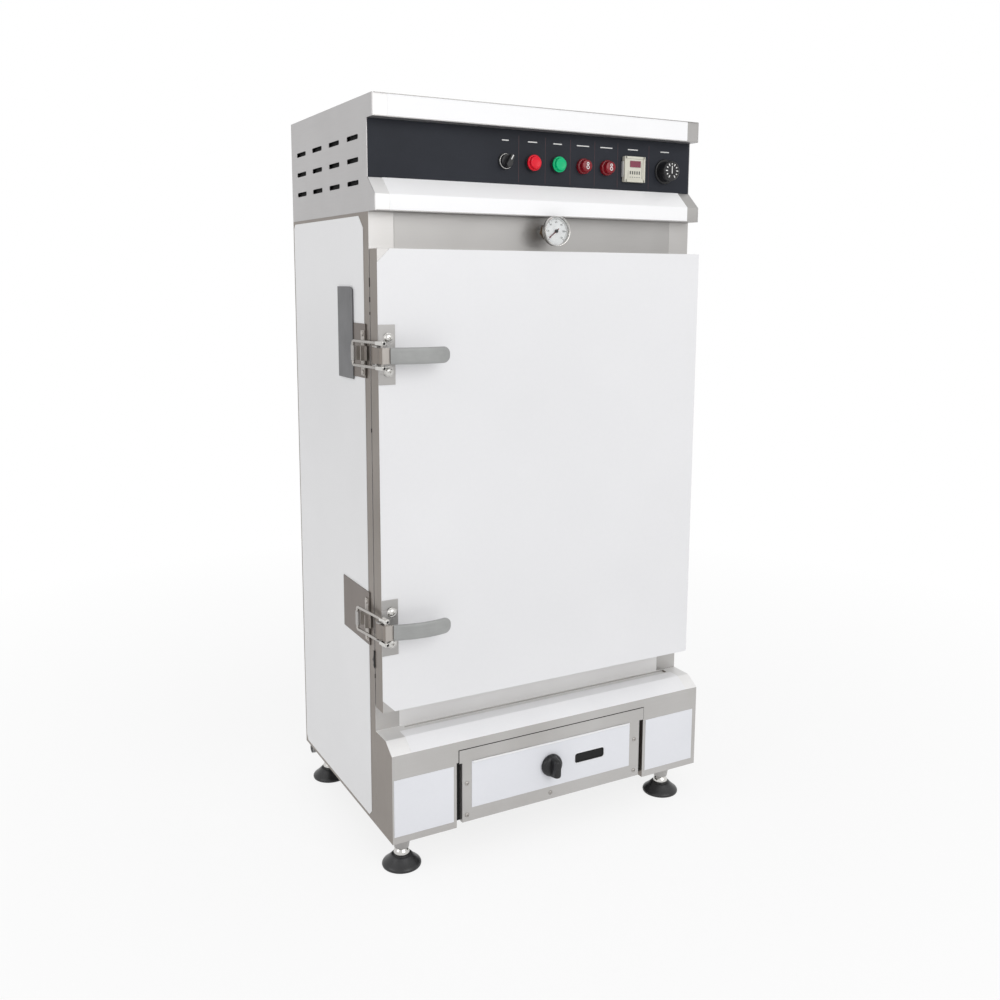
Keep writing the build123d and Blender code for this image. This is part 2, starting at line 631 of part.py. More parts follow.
def facings():
    """Thin white facing sheets on the cabinet, their corners cut at 45 degrees."""
    sheets = []
    bottom, top, back = FACE_MARGIN, BODY_HEIGHT - FACE_MARGIN + 1, BODY_DEPTH - FACE_MARGIN
    outline = [(POST_STRIP + 12, bottom), (back - 8, bottom), (back, bottom + 12), (back, top - 8),
               (back - 8, top), (POST_STRIP + 21, top), (POST_STRIP, top - 21), (POST_STRIP, bottom + 12)]
    for side in (-1, 1):
        sheets.append(prism_x(outline, *sorted((side * HALF, side * (HALF + FILM)))))
    end = HALF - FILM_END
    sheets.append(block((-end, end), (FASCIA_FRONT - FILM, FASCIA_FRONT), (PANEL_TOP, BOX_TOP - 1)))
    lip = [(HOOD_FRONT, BODY_HEIGHT), (HOOD_FRONT, HOOD_LIP_TOP), (PANEL_Y, PANEL_BOTTOM)]
    sheets.append(prism_x(folded(lip, -FILM), -end, end))
    slope = [(-BASE_PROJECTION, BREAK_Z), (-LEDGE_DEPTH, LEDGE_Z), (GUTTER_FRONT - 5, LEDGE_Z)]
    sheets.append(prism_x(folded(slope, -FILM), -HALF + 1.4 * FILM_END, HALF - FILM_END))
    front = (-BASE_PROJECTION - FILM, -BASE_PROJECTION)
    height = (BLOCK_FILM_BOTTOM, BLOCK_FILM_TOP)
    rim = BLOCK_FILM_RIM
    sheets.append(block((-HALF + rim / 2, NOTCH_LEFT - rim), front, height))
    sheets.append(block((NOTCH_RIGHT + rim, HALF - 1.5 * rim), front, height))
    access = block((ACCESS_LEFT + ACCESS_LEFT_RIM, ACCESS_RIGHT - ACCESS_RIGHT_RIM), (ACCESS_Y - FILM, ACCESS_Y),
                   (ACCESS_BOTTOM + ACCESS_LOW_RIM, STRIP_BOTTOM))
    access -= window_cut()
    access -= along_y(BURNER_KNOB_X, BURNER_KNOB_Z, 2 * SPINDLE_RADIUS, ACCESS_Y - 5, ACCESS_Y + 5)
    sheets.append(access)
    add("cabinet_facings", *sheets)


def control_box():
    """Drip hood, side plates with louvres, top cover with fascia, and the black panel."""
    floor = [(BODY_DEPTH, BODY_HEIGHT), (HOOD_FRONT, BODY_HEIGHT), (HOOD_FRONT, HOOD_LIP_TOP),
             (PANEL_Y, PANEL_BOTTOM)]
    add("hood", prism_x(folded(floor, SHEET), -INNER, INNER))

    cover = [(PANEL_Y, PANEL_TOP), (FASCIA_FRONT, PANEL_TOP), (FASCIA_FRONT, BOX_TOP), (BODY_DEPTH, BOX_TOP),
             (BODY_DEPTH, BODY_HEIGHT + SHEET)]
    top = prism_x(folded(cover, SHEET), -INNER, INNER)
    top -= along_y(GLAND_X, GLAND_Z, 2 * GLAND_BORE + HOLE_GAP, BODY_DEPTH - 5, BODY_DEPTH + 5)
    add("top_cover", top)

    outline = [(BODY_DEPTH, BODY_HEIGHT), (HOOD_FRONT, BODY_HEIGHT), (HOOD_FRONT, HOOD_LIP_TOP),
               (PANEL_Y, PANEL_BOTTOM), (PANEL_Y, PANEL_TOP), (FASCIA_FRONT, PANEL_TOP),
               (FASCIA_FRONT, BOX_TOP), (BODY_DEPTH, BOX_TOP)]
    plates = []
    for side in (-1, 1):
        plate = prism_x(outline, *sorted((side * HALF, side * INNER)))
        for row in range(SLOT_ROWS):
            for column in range(SLOT_COLUMNS):
                y = SLOT_FRONT_MARGIN + column * SLOT_PITCH_Y
                z = SLOT_FIRST_Z + row * SLOT_PITCH_Z
                slot = block(sorted((side * (INNER - 3), side * (HALF + 3))),
                             (y - SLOT_LENGTH / 2, y + SLOT_LENGTH / 2),
                             (z - SLOT_HEIGHT / 2, z + SLOT_HEIGHT / 2))
                plate -= rounded(slot, Axis.X, SLOT_CORNER)
        plates.append(plate)
    add("control_box_sides", *plates)

    panel = block((-INNER, INNER), (PANEL_Y, PANEL_Y + SHEET), (PANEL_BOTTOM, PANEL_TOP))
    cut = (PANEL_Y - 5, PANEL_Y + 5)
    for x in (SELECTOR_X, RED_BUTTON_X, GREEN_BUTTON_X) + LAMP_XS + (THERMOSTAT_X,):
        panel -= along_y(x, DEVICE_Z, BARREL_RADIUS + HOLE_GAP, *cut)
    half = TIMER_BODY_SIDE / 2 + HOLE_GAP
    panel -= block((TIMER_X - half, TIMER_X + half), cut, (DEVICE_Z - half, DEVICE_Z + half))
    add("control_panel", panel)

    floor_z = BODY_HEIGHT + SHEET
    rail_top = floor_z + RAIL_HEIGHT
    rail = block(RAIL[:2], RAIL[2:], (floor_z, rail_top))
    left, right, front, back, height = CONTACTOR
    contactor = block((left, right), (front, back), (rail_top, rail_top + height))
    contactor += block((left + 6, right - 6), (front + 12, back - 12), (rail_top, rail_top + height + 12))
    left, right, front, back, height = TERMINALS
    terminals = block((left, right), (front, back), (rail_top, rail_top + height))
    count = int((right - left) / TERMINAL_PITCH)
    for i in range(1, count):
        x = left + i * TERMINAL_PITCH
        terminals -= block((x - 1, x + 1), (front - 5, back + 5), (rail_top + 0.6 * height, rail_top + height + 1))
    add("wiring_gear", rail, contactor, terminals)


def panel_devices():
    """Switches, buttons, lamps, timer and thermostat."""
    z = DEVICE_Z
    face = PANEL_Y
    back = face + BARREL_DEPTH
    housings = []
    for x in (SELECTOR_X, RED_BUTTON_X, GREEN_BUTTON_X):
        shell = along_y(x, z, BEZEL_RADIUS, face - BEZEL_THICKNESS, face)
        shell += along_y(x, z, BARREL_RADIUS, face, back)
        shell -= along_y(x, z, SPINDLE_RADIUS, face - 5, back)
        housings.append(shell + block((x - CONTACT_WIDTH / 2, x + CONTACT_WIDTH / 2), (back, back + CONTACT_DEPTH),
                                      (z - CONTACT_HEIGHT / 2, z + CONTACT_HEIGHT / 2)))
    add("switch_housings", *housings)

    knob = along_y(SELECTOR_X, z, BEZEL_RADIUS - 2, face - 10, face - 2.8)
    grip = block((SELECTOR_X - 3.5, SELECTOR_X + 3.5), (face - 22, face - 9), (z - 12, z + 12))
    grip = rounded(grip, Axis.Y, 2.5)
    spindle = along_y(SELECTOR_X, z, SPINDLE_RADIUS - RUNNING_GAP, face - 3, back - 5)
    add("selector_knob", knob + grip + spindle)

    for name, x in (("red_button", RED_BUTTON_X), ("green_button", GREEN_BUTTON_X)):
        rear = face - BEZEL_THICKNESS - BUTTON_TRAVEL - 0.5
        cap = along_y(x, z, BEZEL_RADIUS, rear - 4, rear)
        crown = along_y(x, z, BUTTON_CROWN_RADIUS, rear - 10, rear - 4)
        crown = fillet(crown.edges().group_by(Axis.Y)[0], 1.5)
        stem = along_y(x, z, SPINDLE_RADIUS - RUNNING_GAP, rear, back - BUTTON_TRAVEL - 1)
        add(name, cap + crown + stem)

    lamps = []
    for x in LAMP_XS:
        lamp = along_y(x, z, BEZEL_RADIUS, face - 8, face)
        lens = along_y(x, z, BUTTON_CROWN_RADIUS, face - 18, face - 8)
        lens = fillet(lens.edges().group_by(Axis.Y)[0], 2.5)
        lamps.append(lamp + lens + along_y(x, z, BARREL_RADIUS, face, face + LAMP_DEPTH))
    add("pilot_lamps", *lamps)

    half, body = TIMER_SIDE / 2, TIMER_BODY_SIDE / 2
    front = face - TIMER_BEZEL
    bezel = block((TIMER_X - half, TIMER_X + half), (front, face), (z - half, z + half))
    bezel = fillet(bezel.edges().group_by(Axis.Y)[0], 1.5)
    width, height = (TIMER_X - 0.47 * half, TIMER_X + 0.55 * half), (z + 0.16 * half, z + 0.65 * half)
    bezel -= block(width, (front - 1, front + TIMER_RECESS), height)
    bezel += block((TIMER_X - body, TIMER_X + body), (face, face + TIMER_DEPTH), (z - body, z + body))
    add("timer_body", bezel)
    add("timer_window", block(width, (front + 0.2 * TIMER_RECESS, front + TIMER_RECESS), height))

    x, radius = THERMOSTAT_X, THERMOSTAT_DIAL_RADIUS
    front = face - THERMOSTAT_DIAL
    dial = along_y(x, z, radius, front, face)
    dial = fillet(dial.edges().group_by(Axis.Y)[0], THERMOSTAT_DIAL / 2)
    dial += along_y(x, z, BARREL_RADIUS, face, back)
    dial -= along_y(x, z, SPINDLE_RADIUS, front - 1, back)
    half = THERMOSTAT_KNOB_RADIUS
    add("thermostat_body", dial + block((x - half, x + half), (back, back + LAMP_DEPTH), (z - half, z + half)))
    rear = front - 0.3
    knob = along_y(x, z, half, rear - THERMOSTAT_KNOB_LENGTH, rear)
    knob = fillet(knob.edges().group_by(Axis.Y)[0], 2)
    add("thermostat_knob", knob + along_y(x, z, SPINDLE_RADIUS - RUNNING_GAP, rear - 1, back - 5))

    x, z = BURNER_KNOB_X, BURNER_KNOB_Z
    front = ACCESS_Y - FILM - 0.5
    knob = along_y(x, z, BURNER_KNOB_RADIUS, front - 12, front)
    knob = fillet(knob.edges().group_by(Axis.Y)[0], 3)
    grip = block((x - 7, x + 7), (front - 30, front - 8), (z - 21, z + 21))
    grip = rounded(grip, Axis.Y, 4)
    spindle = along_y(x, z, SPINDLE_RADIUS - RUNNING_GAP, front - 1, VALVE_FRONT + VALVE_BORE_DEPTH - 3)
    add("burner_knob", knob + grip + spindle)


def thermometer():
    x, z = THERMOMETER_X, THERMOMETER_Z
    front, back = THERMOMETER_FRONT, THERMOMETER_BACK
    cavity = THERMOMETER_RADIUS - THERMOMETER_WALL
    case = along_y(x, z, THERMOMETER_RADIUS, front, back)
    case = fillet(case.edges().group_by(Axis.Y)[0], 1.4)
    case -= along_y(x, z, cavity, front - 1, back - 5)
    case += along_y(x, z, 8, back, -6)
    case += along_y(x, z, 12, -6, 0)
    case += along_y(x, z, PROBE_RADIUS, 0, PROBE_LENGTH)
    add("thermometer_case", case)
    dial_face = back - 6.2
    dial = along_y(x, z, cavity, dial_face, back - 5)
    add("thermometer_dial", dial + along_y(x, z, 0.9, dial_face - 2.4, dial_face))
    needle = block((x - NEEDLE_LENGTH, x + NEEDLE_TAIL), (dial_face - 1.6, dial_face - 0.8), (z - 0.9, z + 0.9))
    needle += along_y(x, z, 3.2, dial_face - 1.8, dial_face - 0.4)
    needle -= along_y(x, z, 0.9 + RUNNING_GAP / 2, dial_face - 3, dial_face + 1)
    add("thermometer_needle", Pos(x, 0, z) * Rot(0, NEEDLE_REST_ANGLE, 0) * Pos(-x, 0, -z) * needle)
    add("thermometer_glass", along_y(x, z, cavity, front + 1.6, front + 3.2))


def door():
    """Insulated door: outer pan, inner pan, filling, gasket and white facing."""
    x, z = (-HALF, HALF), (DOOR_BOTTOM, DOOR_TOP)
    inner_x, inner_z = (-INNER, INNER), (DOOR_BOTTOM + SHEET, DOOR_TOP - SHEET)
    shell = block(x, (DOOR_FRONT, DOOR_BACK), z)
    add("door_shell", shell - block(inner_x, (DOOR_FRONT + SHEET, DOOR_BACK + 1), inner_z))
    add("door_inner_pan", block(inner_x, (DOOR_BACK - SHEET, DOOR_BACK), inner_z))
    add("door_insulation", block(inner_x, (DOOR_FRONT + SHEET, DOOR_BACK - SHEET), inner_z))
    reach = OPENING_HALF + GASKET_MARGIN
    low, high = OPENING_BOTTOM - GASKET_MARGIN, OPENING_TOP + GASKET_MARGIN
    seal = (DOOR_BACK, -GASKET_GAP)
    ring = block((-reach - GASKET_WIDTH, reach + GASKET_WIDTH), seal, (low - GASKET_WIDTH, high + GASKET_WIDTH))
    add("door_gasket", ring - block((-reach, reach), (DOOR_BACK - 1, 1), (low, high)))
    cut = DOOR_CORNER_CUT
    outline = [(-HALF + cut, DOOR_BOTTOM), (HALF, DOOR_BOTTOM), (HALF, DOOR_TOP), (-HALF + cut, DOOR_TOP),
               (-HALF, DOOR_TOP - cut), (-HALF, DOOR_BOTTOM + cut)]
    add("door_facing", prism_y(outline, FILM_FRONT, DOOR_FRONT))


def latch_door_parts(z):
    """Plate, bracket with two ears, pivot pin and screws on the door."""
    plate_front = FILM_FRONT - LATCH_PLATE
    front = plate_front - BRACKET_SHEET
    plate = block((-HALF, -HALF + LATCH_PLATE_WIDTH), (plate_front, FILM_FRONT),
                  (z - LATCH_PLATE_HEIGHT / 2, z + LATCH_PLATE_HEIGHT / 2))
    bracket = block((-HALF, -HALF + BRACKET_WIDTH), (front, plate_front),
                    (z - BRACKET_HEIGHT / 2, z + BRACKET_HEIGHT / 2))
    ear_start = LEVER_WIDTH / 2 + EAR_GAP
    ear_end = ear_start + BRACKET_SHEET
    reach = PIVOT_RADIUS + EYE_WALL + 0.5
    ear = [(-HALF + 15, plate_front), (PIVOT_X - reach + 2, plate_front), (PIVOT_X - reach, PIVOT_Y),
           (PIVOT_X - reach + 2, PIVOT_Y - reach), (-HALF, PIVOT_Y - reach), (-HALF + 15, front - 1)]
    for side in (-1, 1):
        bracket += prism_z(ear, *sorted((z + side * ear_start, z + side * ear_end)))
    bracket -= along_z(PIVOT_X, PIVOT_Y, PIVOT_RADIUS, z - 30, z + 30)
    pin = along_z(PIVOT_X, PIVOT_Y, PIVOT_RADIUS, z - ear_end, z + ear_end)
    screws = []
    for side in (-1, 1):
        x, height = -HALF + 18, z + side * (BRACKET_HEIGHT / 2 - 5)
        head = along_y(x, height, LATCH_SCREW_RADIUS, front - LATCH_SCREW_HEIGHT, front)
        screws.append(fillet(head.edges().group_by(Axis.Y)[0], 0.7 * LATCH_SCREW_HEIGHT))
    return plate, bracket, pin, screws


def grip_path(z):
    start = Vector(GRIP_START_X, LEVER_Y, z)
    end = Vector(GRIP_END_X, LEVER_Y - GRIP_SWELL, z)
    middle = (start + end) * 0.5 + Vector(0, GRIP_BOW, 0)
    return ThreePointArc(start, middle, end)


def latch_lever(z):
    """Steel lever with its pivot eye and link eye, and the grip round its end."""
    half = LEVER_WIDTH / 2
    eye = along_z(PIVOT_X, PIVOT_Y, PIVOT_RADIUS + EYE_WALL, z - half, z + half)
    link = along_z(LINK_X, LINK_Y, LINK_RADIUS + EYE_WALL, z - half, z + half)
    length = hypot(LINK_OFFSET_X, LINK_OFFSET_Y)
    web = Box(length, 2 * PIVOT_RADIUS + 1, LEVER_WIDTH)
    web = Rot(0, 0, degrees(atan2(LINK_OFFSET_Y, LINK_OFFSET_X))) * web
    web = Pos(PIVOT_X + LINK_OFFSET_X / 2, PIVOT_Y + LINK_OFFSET_Y / 2, z) * web
    strip = block((LINK_X, GRIP_START_X + 1), (LEVER_Y - LEVER_SHEET / 2, LEVER_Y + LEVER_SHEET / 2),
                  (z - half, z + half))
    path = grip_path(z)
    start = Plane(origin=path @ 0, x_dir=(0, 0, 1), z_dir=path % 0)
    tang = sweep(start * Rectangle(LEVER_WIDTH - 10, LEVER_SHEET), path=path)
    lever = eye + link + web + strip + tang
    lever -= along_z(PIVOT_X, PIVOT_Y, PIVOT_RADIUS + RUNNING_GAP, z - 30, z + 30)
    lever -= along_z(LINK_X, LINK_Y, LINK_RADIUS + RUNNING_GAP, z - 30, z + 30)
    grip = sweep(start * Rectangle(GRIP_WIDTH, GRIP_THICKNESS), path=path)
    corner = GRIP_WIDTH / 2 - 1
    tip = grip.edges().filter_by(lambda e: e.center().X > GRIP_END_X - 6 and abs(e.center().Z - z) > corner)
    tip = tip.filter_by(lambda e: e.length < 1.5 * GRIP_THICKNESS)
    grip = fillet(tip, GRIP_CORNER)
    return lever, grip - lever


def latch_bail(z):
    """Closed loop: link pin, two rods with square end blocks, and the cross bar at the keeper."""
    half = BAIL_SPACING / 2
    run = Vector(BAIL_END_X - LINK_X, BAIL_END_Y - LINK_Y, 0)
    pieces = [along_z(LINK_X, LINK_Y, LINK_RADIUS, z - half, z + half),
              along_z(BAIL_END_X, BAIL_END_Y, BAIL_RADIUS, z - half, z + half)]
    for side in (-1, 1):
        start = Vector(LINK_X, LINK_Y, z + side * half)
        pieces.append(Solid.make_cylinder(BAIL_RADIUS, run.length, Plane(origin=start, z_dir=run)))
        lug = Plane(origin=start + run.normalized() * 6, x_dir=run, z_dir=(0, 0, 1))
        pieces.append(lug * Box(LUG_LENGTH, LUG_WIDTH, LUG_HEIGHT))
        pieces.append(Pos(BAIL_END_X, BAIL_END_Y, z + side * half) * Sphere(BAIL_RADIUS))
    return fused(pieces)


def latches():
    plates, brackets, fasteners, keepers = [], [], [], []
    for name, z in (("upper", UPPER_LATCH_Z), ("lower", LOWER_LATCH_Z)):
        plate, bracket, pin, screws = latch_door_parts(z)
        plates.append(plate)
        brackets.append(bracket)
        fasteners += [pin] + screws
        lever, grip = latch_lever(z)
        add(name + "_latch_lever", lever)
        add(name + "_latch_grip", grip)
        add(name + "_latch_bail", latch_bail(z))
        keepers += keeper(z)
    add("latch_door_plates", *plates)
    add("latch_brackets", *brackets)
    add("latch_fasteners", *fasteners)
    add("latch_keepers", *keepers)

    outside = -HALF - FILM
    plates = []
    for (front, back, low, high), z in ((SIDE_PLATE_UPPER, UPPER_LATCH_Z), (SIDE_PLATE_LOWER, LOWER_LATCH_Z)):
        plates.append(block((outside - LATCH_PLATE, outside), (front, back), (z + low, z + high)))
    add("latch_side_plates", *plates)
    front, back, low, high = BACKING_BAR
    add("latch_backing_bar", block((outside - 2 * LATCH_PLATE, outside - LATCH_PLATE), (front, back),
                                   (UPPER_LATCH_Z + low, UPPER_LATCH_Z + high)))


def keeper(z):
    """Keeper: a base strip on the side plate with two upright lips between the rods, and rivets."""
    seat = -HALF - FILM - LATCH_PLATE
    crest = BAIL_END_X + BAIL_RADIUS + KEEPER_GAP
    half = KEEPER_WIDTH / 2
    rear = BAIL_END_Y - BAIL_RADIUS - 2 * KEEPER_GAP
    front = rear - KEEPER_LENGTH
    body = block((seat - BRACKET_SHEET, seat), (front, rear), (z - half, z + half))
    for y in (front + KEEPER_LENGTH / 5, rear - BRACKET_SHEET):
        body += block((crest, seat), (y, y + BRACKET_SHEET), (z - half, z + half))
    middle = (front + rear) / 2 + 3
    wing = 1.55 * KEEPER_WIDTH
    body += block((seat - BRACKET_SHEET, seat), (middle - 8, middle + 8), (z - wing, z + wing))
    rivets = []
    for height in (z - wing + 6, z + wing - 6):
        head = along_x(middle, height, SCREW_HEAD_RADIUS, seat - 2 * BRACKET_SHEET, seat - BRACKET_SHEET)
        rivets.append(fillet(head.edges().group_by(Axis.X)[0], 0.7 * BRACKET_SHEET))
    return [body] + rivets


def hinges():
    """Lift-off hinges on the right: cabinet leaves with pins, and door leaves."""
    cabinet, leaves, pins = [], [], []
    x, y = HINGE_X, HINGE_Y
    plate = (HALF, HALF + HINGE_LEAF)
    bore = HINGE_PIN_RADIUS + HINGE_PIN_GAP
    for z in HINGE_ZS:
        low, high = z - HINGE_HEIGHT / 2, z + HINGE_HEIGHT / 2
        fixed = block(plate, (y + LEAF_RELIEF, y + LEAF_REACH), (low, high))
        fixed += block(plate, (y, y + LEAF_RELIEF), (low, z))
        fixed += along_z(x, y, KNUCKLE_RADIUS, low, z)
        cabinet.append(fixed - along_z(x, y, bore, low - 1, high + 1))
        moving = block(plate, (y - DOOR_LEAF_REACH, y - LEAF_RELIEF), (low, high))
        moving += block(plate, (y - LEAF_RELIEF, y), (z + HINGE_LIFT, high))
        moving += along_z(x, y, KNUCKLE_RADIUS, z + HINGE_LIFT, high)
        leaves.append(moving - along_z(x, y, bore, low - 1, high + 1))
        pin = along_z(x, y, HINGE_PIN_RADIUS, low, high + 1)
        pins.append(pin + along_z(x, y, KNUCKLE_RADIUS - 0.5, high + 0.4, high + 3.4))
    add("hinge_cabinet_leaves", *cabinet, *pins)
    add("hinge_door_leaves", *leaves)


def feet():
    """Sockets under the base, and four screw feet, each a stem with ball collar and a pad."""
    sockets = []
    places = {"front_left_foot": (FOOT_LEFT_X, FOOT_FRONT_Y), "front_right_foot": (FOOT_RIGHT_X, FOOT_FRONT_Y),
              "rear_left_foot": (FOOT_LEFT_X, FOOT_BACK_Y), "rear_right_foot": (FOOT_RIGHT_X, FOOT_BACK_Y)}
    bottom = -FOOT_HEIGHT
    pad_top = bottom + FOOT_PAD_HEIGHT
    for name, (x, y) in places.items():
        socket = Pos(x, y, -SOCKET_DEPTH / 2) * Cone(SOCKET_BOTTOM_RADIUS, SOCKET_TOP_RADIUS, SOCKET_DEPTH)
        if y == FOOT_BACK_Y:
            side = 1 if x > 0 else -1
            inner_edge = x - side * GUSSET_REACH
            socket += block(sorted((side * INNER, inner_edge)), (y - GUSSET_REACH, BODY_DEPTH - SHEET),
                            (0, GUSSET))
        sockets.append(socket - along_z(x, y, STEM_RADIUS + RUNNING_GAP, -40, 10))
        collar_top = -SOCKET_DEPTH - FOOT_GAP
        stem = along_z(x, y, STEM_RADIUS, collar_top, STEM_TOP)
        collar = along_z(x, y, COLLAR_RADIUS, pad_top, collar_top)
        collar = fillet(collar.edges().group_by(Axis.Z)[-1], COLLAR_CORNER)
        rim = along_z(x, y, FOOT_PAD_RADIUS, bottom, bottom + FOOT_PAD_RIM)
        cone_height = FOOT_PAD_HEIGHT - FOOT_PAD_RIM
        cone = Pos(x, y, pad_top - cone_height / 2) * Cone(FOOT_PAD_RADIUS, FOOT_PAD_NECK, cone_height)
        add(name, stem + collar, rim + cone)
    add("foot_sockets", *sockets)


def rear_fittings():
    """Water inlet, steam outlet, drain pipe and cable gland."""
    x, z = WATER_INLET
    end = BODY_DEPTH + NIPPLE_LENGTH
    inlet = along_y(x, z, INLET_RADIUS, CHAMBER_BACK, BODY_DEPTH)
    inlet += along_y(x, z, NIPPLE_RADIUS, BODY_DEPTH, end)
    inlet -= along_y(x, z, NIPPLE_BORE, CHAMBER_BACK - 1, end + 1)
    steam_end = BODY_DEPTH + STEAM_LENGTH
    outlet = along_y(*STEAM_OUTLET, STEAM_INNER_RADIUS, CHAMBER_BACK, BODY_DEPTH)
    outlet += along_y(*STEAM_OUTLET, STEAM_RADIUS, BODY_DEPTH, steam_end)
    outlet -= along_y(*STEAM_OUTLET, STEAM_BORE, CHAMBER_BACK - 1, steam_end + 1)
    add("pipe_stubs", inlet, outlet)

    back = CHAMBER_BACK + SHEET
    route = [(DRAIN_X, back, DRAIN_TANK_Z), (DRAIN_X, DRAIN_Y, DRAIN_TANK_Z), (DRAIN_X, DRAIN_Y, DRAIN_Z),
             (DRAIN_END_X, DRAIN_Y, DRAIN_Z)]
    add("drain_pipe", pipe(route, DRAIN_BEND, DRAIN_RADIUS, DRAIN_BORE))

    x, z = GLAND_X, GLAND_Z
    back = BODY_DEPTH
    gland = along_y(x, z, 2 * GLAND_BORE, back - GLAND_INSIDE, back)
    nut = Plane(origin=(x, back, z), z_dir=(0, 1, 0)) * RegularPolygon(2.7 * GLAND_BORE, 6)
    gland += extrude(nut, amount=GLAND_NUT, dir=(0, 1, 0))
    gland += along_y(x, z, 2.2 * GLAND_BORE, back + GLAND_NUT, back + GLAND_LENGTH)
    gland -= along_y(x, z, GLAND_BORE, back - GLAND_INSIDE - 1, back + GLAND_LENGTH + 1)
    add("cable_gland", gland)


def build():
    outer_body()
    chamber()
    heating()
    base()
    facings()
    control_box()
    panel_devices()
    thermometer()
    door()
    latches()
    hinges()
    feet()
    rear_fittings()


def solids_of(pieces):
    found = []
    for piece in pieces:
        found += piece.solids()
    return found


def origin_shift():
    """From the drawing's origin to the middle of the whole object's footprint, on the floor."""
    box = Compound(children=[Compound(solids_of(p)) for p in parts.values()]).bounding_box()
    return Vector(-(box.min.X + box.max.X) / 2, -(box.min.Y + box.max.Y) / 2, -box.min.Z)


build()
SHIFT = origin_shift()
os.makedirs("parts", exist_ok=True)
for node, pieces in parts.items():
    solids = [Pos(SHIFT) * solid for solid in solids_of(pieces)]
    shape = solids[0] if len(solids) == 1 else Compound(children=solids)
    export_step(shape, "parts/" + node + ".step")
print(len(parts), "nodes; moved by", SHIFT)
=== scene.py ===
"""Looks of the bun steamer cabinet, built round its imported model.

Shapes are drawn in millimetres in the drawing frame: x from the middle of the cabinet's width, y from
its front frame towards the back, z from the underside of the base. SHIFT takes them to the row frame.
"""
import json
from math import atan2, cos, pi, radians, sin, sqrt

import bmesh
import bpy
from mathutils import Matrix, Vector

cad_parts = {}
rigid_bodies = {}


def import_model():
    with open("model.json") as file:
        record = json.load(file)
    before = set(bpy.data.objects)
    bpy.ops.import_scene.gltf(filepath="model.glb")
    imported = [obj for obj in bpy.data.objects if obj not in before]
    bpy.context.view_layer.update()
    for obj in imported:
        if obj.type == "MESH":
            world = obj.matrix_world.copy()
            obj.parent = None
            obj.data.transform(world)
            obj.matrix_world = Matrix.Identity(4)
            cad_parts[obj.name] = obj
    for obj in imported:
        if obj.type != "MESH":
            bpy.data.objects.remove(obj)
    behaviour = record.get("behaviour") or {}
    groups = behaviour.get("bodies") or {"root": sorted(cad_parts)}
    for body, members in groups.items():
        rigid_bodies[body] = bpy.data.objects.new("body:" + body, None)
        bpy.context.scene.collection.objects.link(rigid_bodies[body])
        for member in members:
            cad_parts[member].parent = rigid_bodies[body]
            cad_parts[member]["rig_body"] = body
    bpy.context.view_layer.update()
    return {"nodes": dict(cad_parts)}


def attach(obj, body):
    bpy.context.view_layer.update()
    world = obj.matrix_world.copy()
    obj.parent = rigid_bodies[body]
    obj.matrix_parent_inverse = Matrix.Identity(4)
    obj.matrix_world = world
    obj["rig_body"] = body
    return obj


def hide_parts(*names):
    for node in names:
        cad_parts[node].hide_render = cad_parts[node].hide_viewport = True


MM = 0.001
SHIFT = Vector((3.0, -170.15, 60.0))

# Camera in millimetres and degrees, fitted to the photograph's frame of 1000 by 1000 pixels. Its centre
# row stays near the middle of the picture, because other views of the scene have the same shift.
CAMERA_PLACE = (-1027.6, -1719.9, 1028.2)
CAMERA_YAW = 28.664
CAMERA_PITCH = -8.814
CAMERA_ROLL = 0.259
FOCAL_PIXELS = 1036.5
PICTURE_WIDTH = 1000.0
SENSOR_WIDTH = 36.0
CENTRE_ROW = 440.0

# Sizes of the model that the added pieces sit on
HALF_WIDTH = 350.0
FILM = 0.6
PANEL_Y = 2.0
DEVICE_Z = 1243.0
BODY_DEPTH = 422.0
BEZEL_RADIUS = 14.5
CROWN_RADIUS = 11.5
SELECTOR_X = -78.0
RED_X = -20.0
GREEN_X = 35.0
LAMP_XS = (92.0, 146.0)
TIMER_X = 209.0
THERMOSTAT_X = 287.0
SPINDLE_RADIUS = 4.9
SPINDLE_END = -15
THERMOMETER_PLACE = (5.0, -38.0, 1117.0)
DIAL_RADIUS = 25.4
BURNER_KNOB_PLACE = (-12.7, -79.7, 81.0)
ACCESS_Y = -78.6
WINDOW_PLACE = (78.5, 80.0)
LATCH_ZS = {"upper": 897.0, "lower": 402.0}
PIVOT = (-357.0, -47.0)
LINK = (-352.0, -62.0)
BAIL_END = (-366.0, 42.0)
FEET = {"front_left_foot": (-320.0, -47.0), "front_right_foot": (284.0, -47.0),
        "rear_left_foot": (-320.0, 350.6), "rear_right_foot": (284.0, 350.6)}

# Radius and height of the small screws, and the turns from which an edge counts as crisp
SMALL_SCREW = (4.2, 2.0)
SHARP = radians(35)
CREASE = radians(18)

# Axes of a small local frame for things that sit on a face: across, up and outward
FRONT = (Vector((1, 0, 0)), Vector((0, 0, 1)), Vector((0, -1, 0)))
BACK = (Vector((-1, 0, 0)), Vector((0, 0, 1)), Vector((0, 1, 0)))
LEFT = (Vector((0, -1, 0)), Vector((0, 0, 1)), Vector((-1, 0, 0)))
RIGHT = (Vector((0, 1, 0)), Vector((0, 0, 1)), Vector((1, 0, 0)))
UPWARD = (Vector((1, 0, 0)), Vector((0, 1, 0)), Vector((0, 0, 1)))


def row(point):
    """Place in the row frame, in metres, of a point in the drawing frame."""
    return (Vector(point) + SHIFT) * MM


def node(tree, kind, **settings):
    """Shader node whose settings are inputs where it has such inputs, and attributes otherwise."""
    made = tree.nodes.new(kind)
    for name, value in settings.items():
        if name in made.inputs:
            made.inputs[name].default_value = value
        else:
            setattr(made, name, value)
    return made


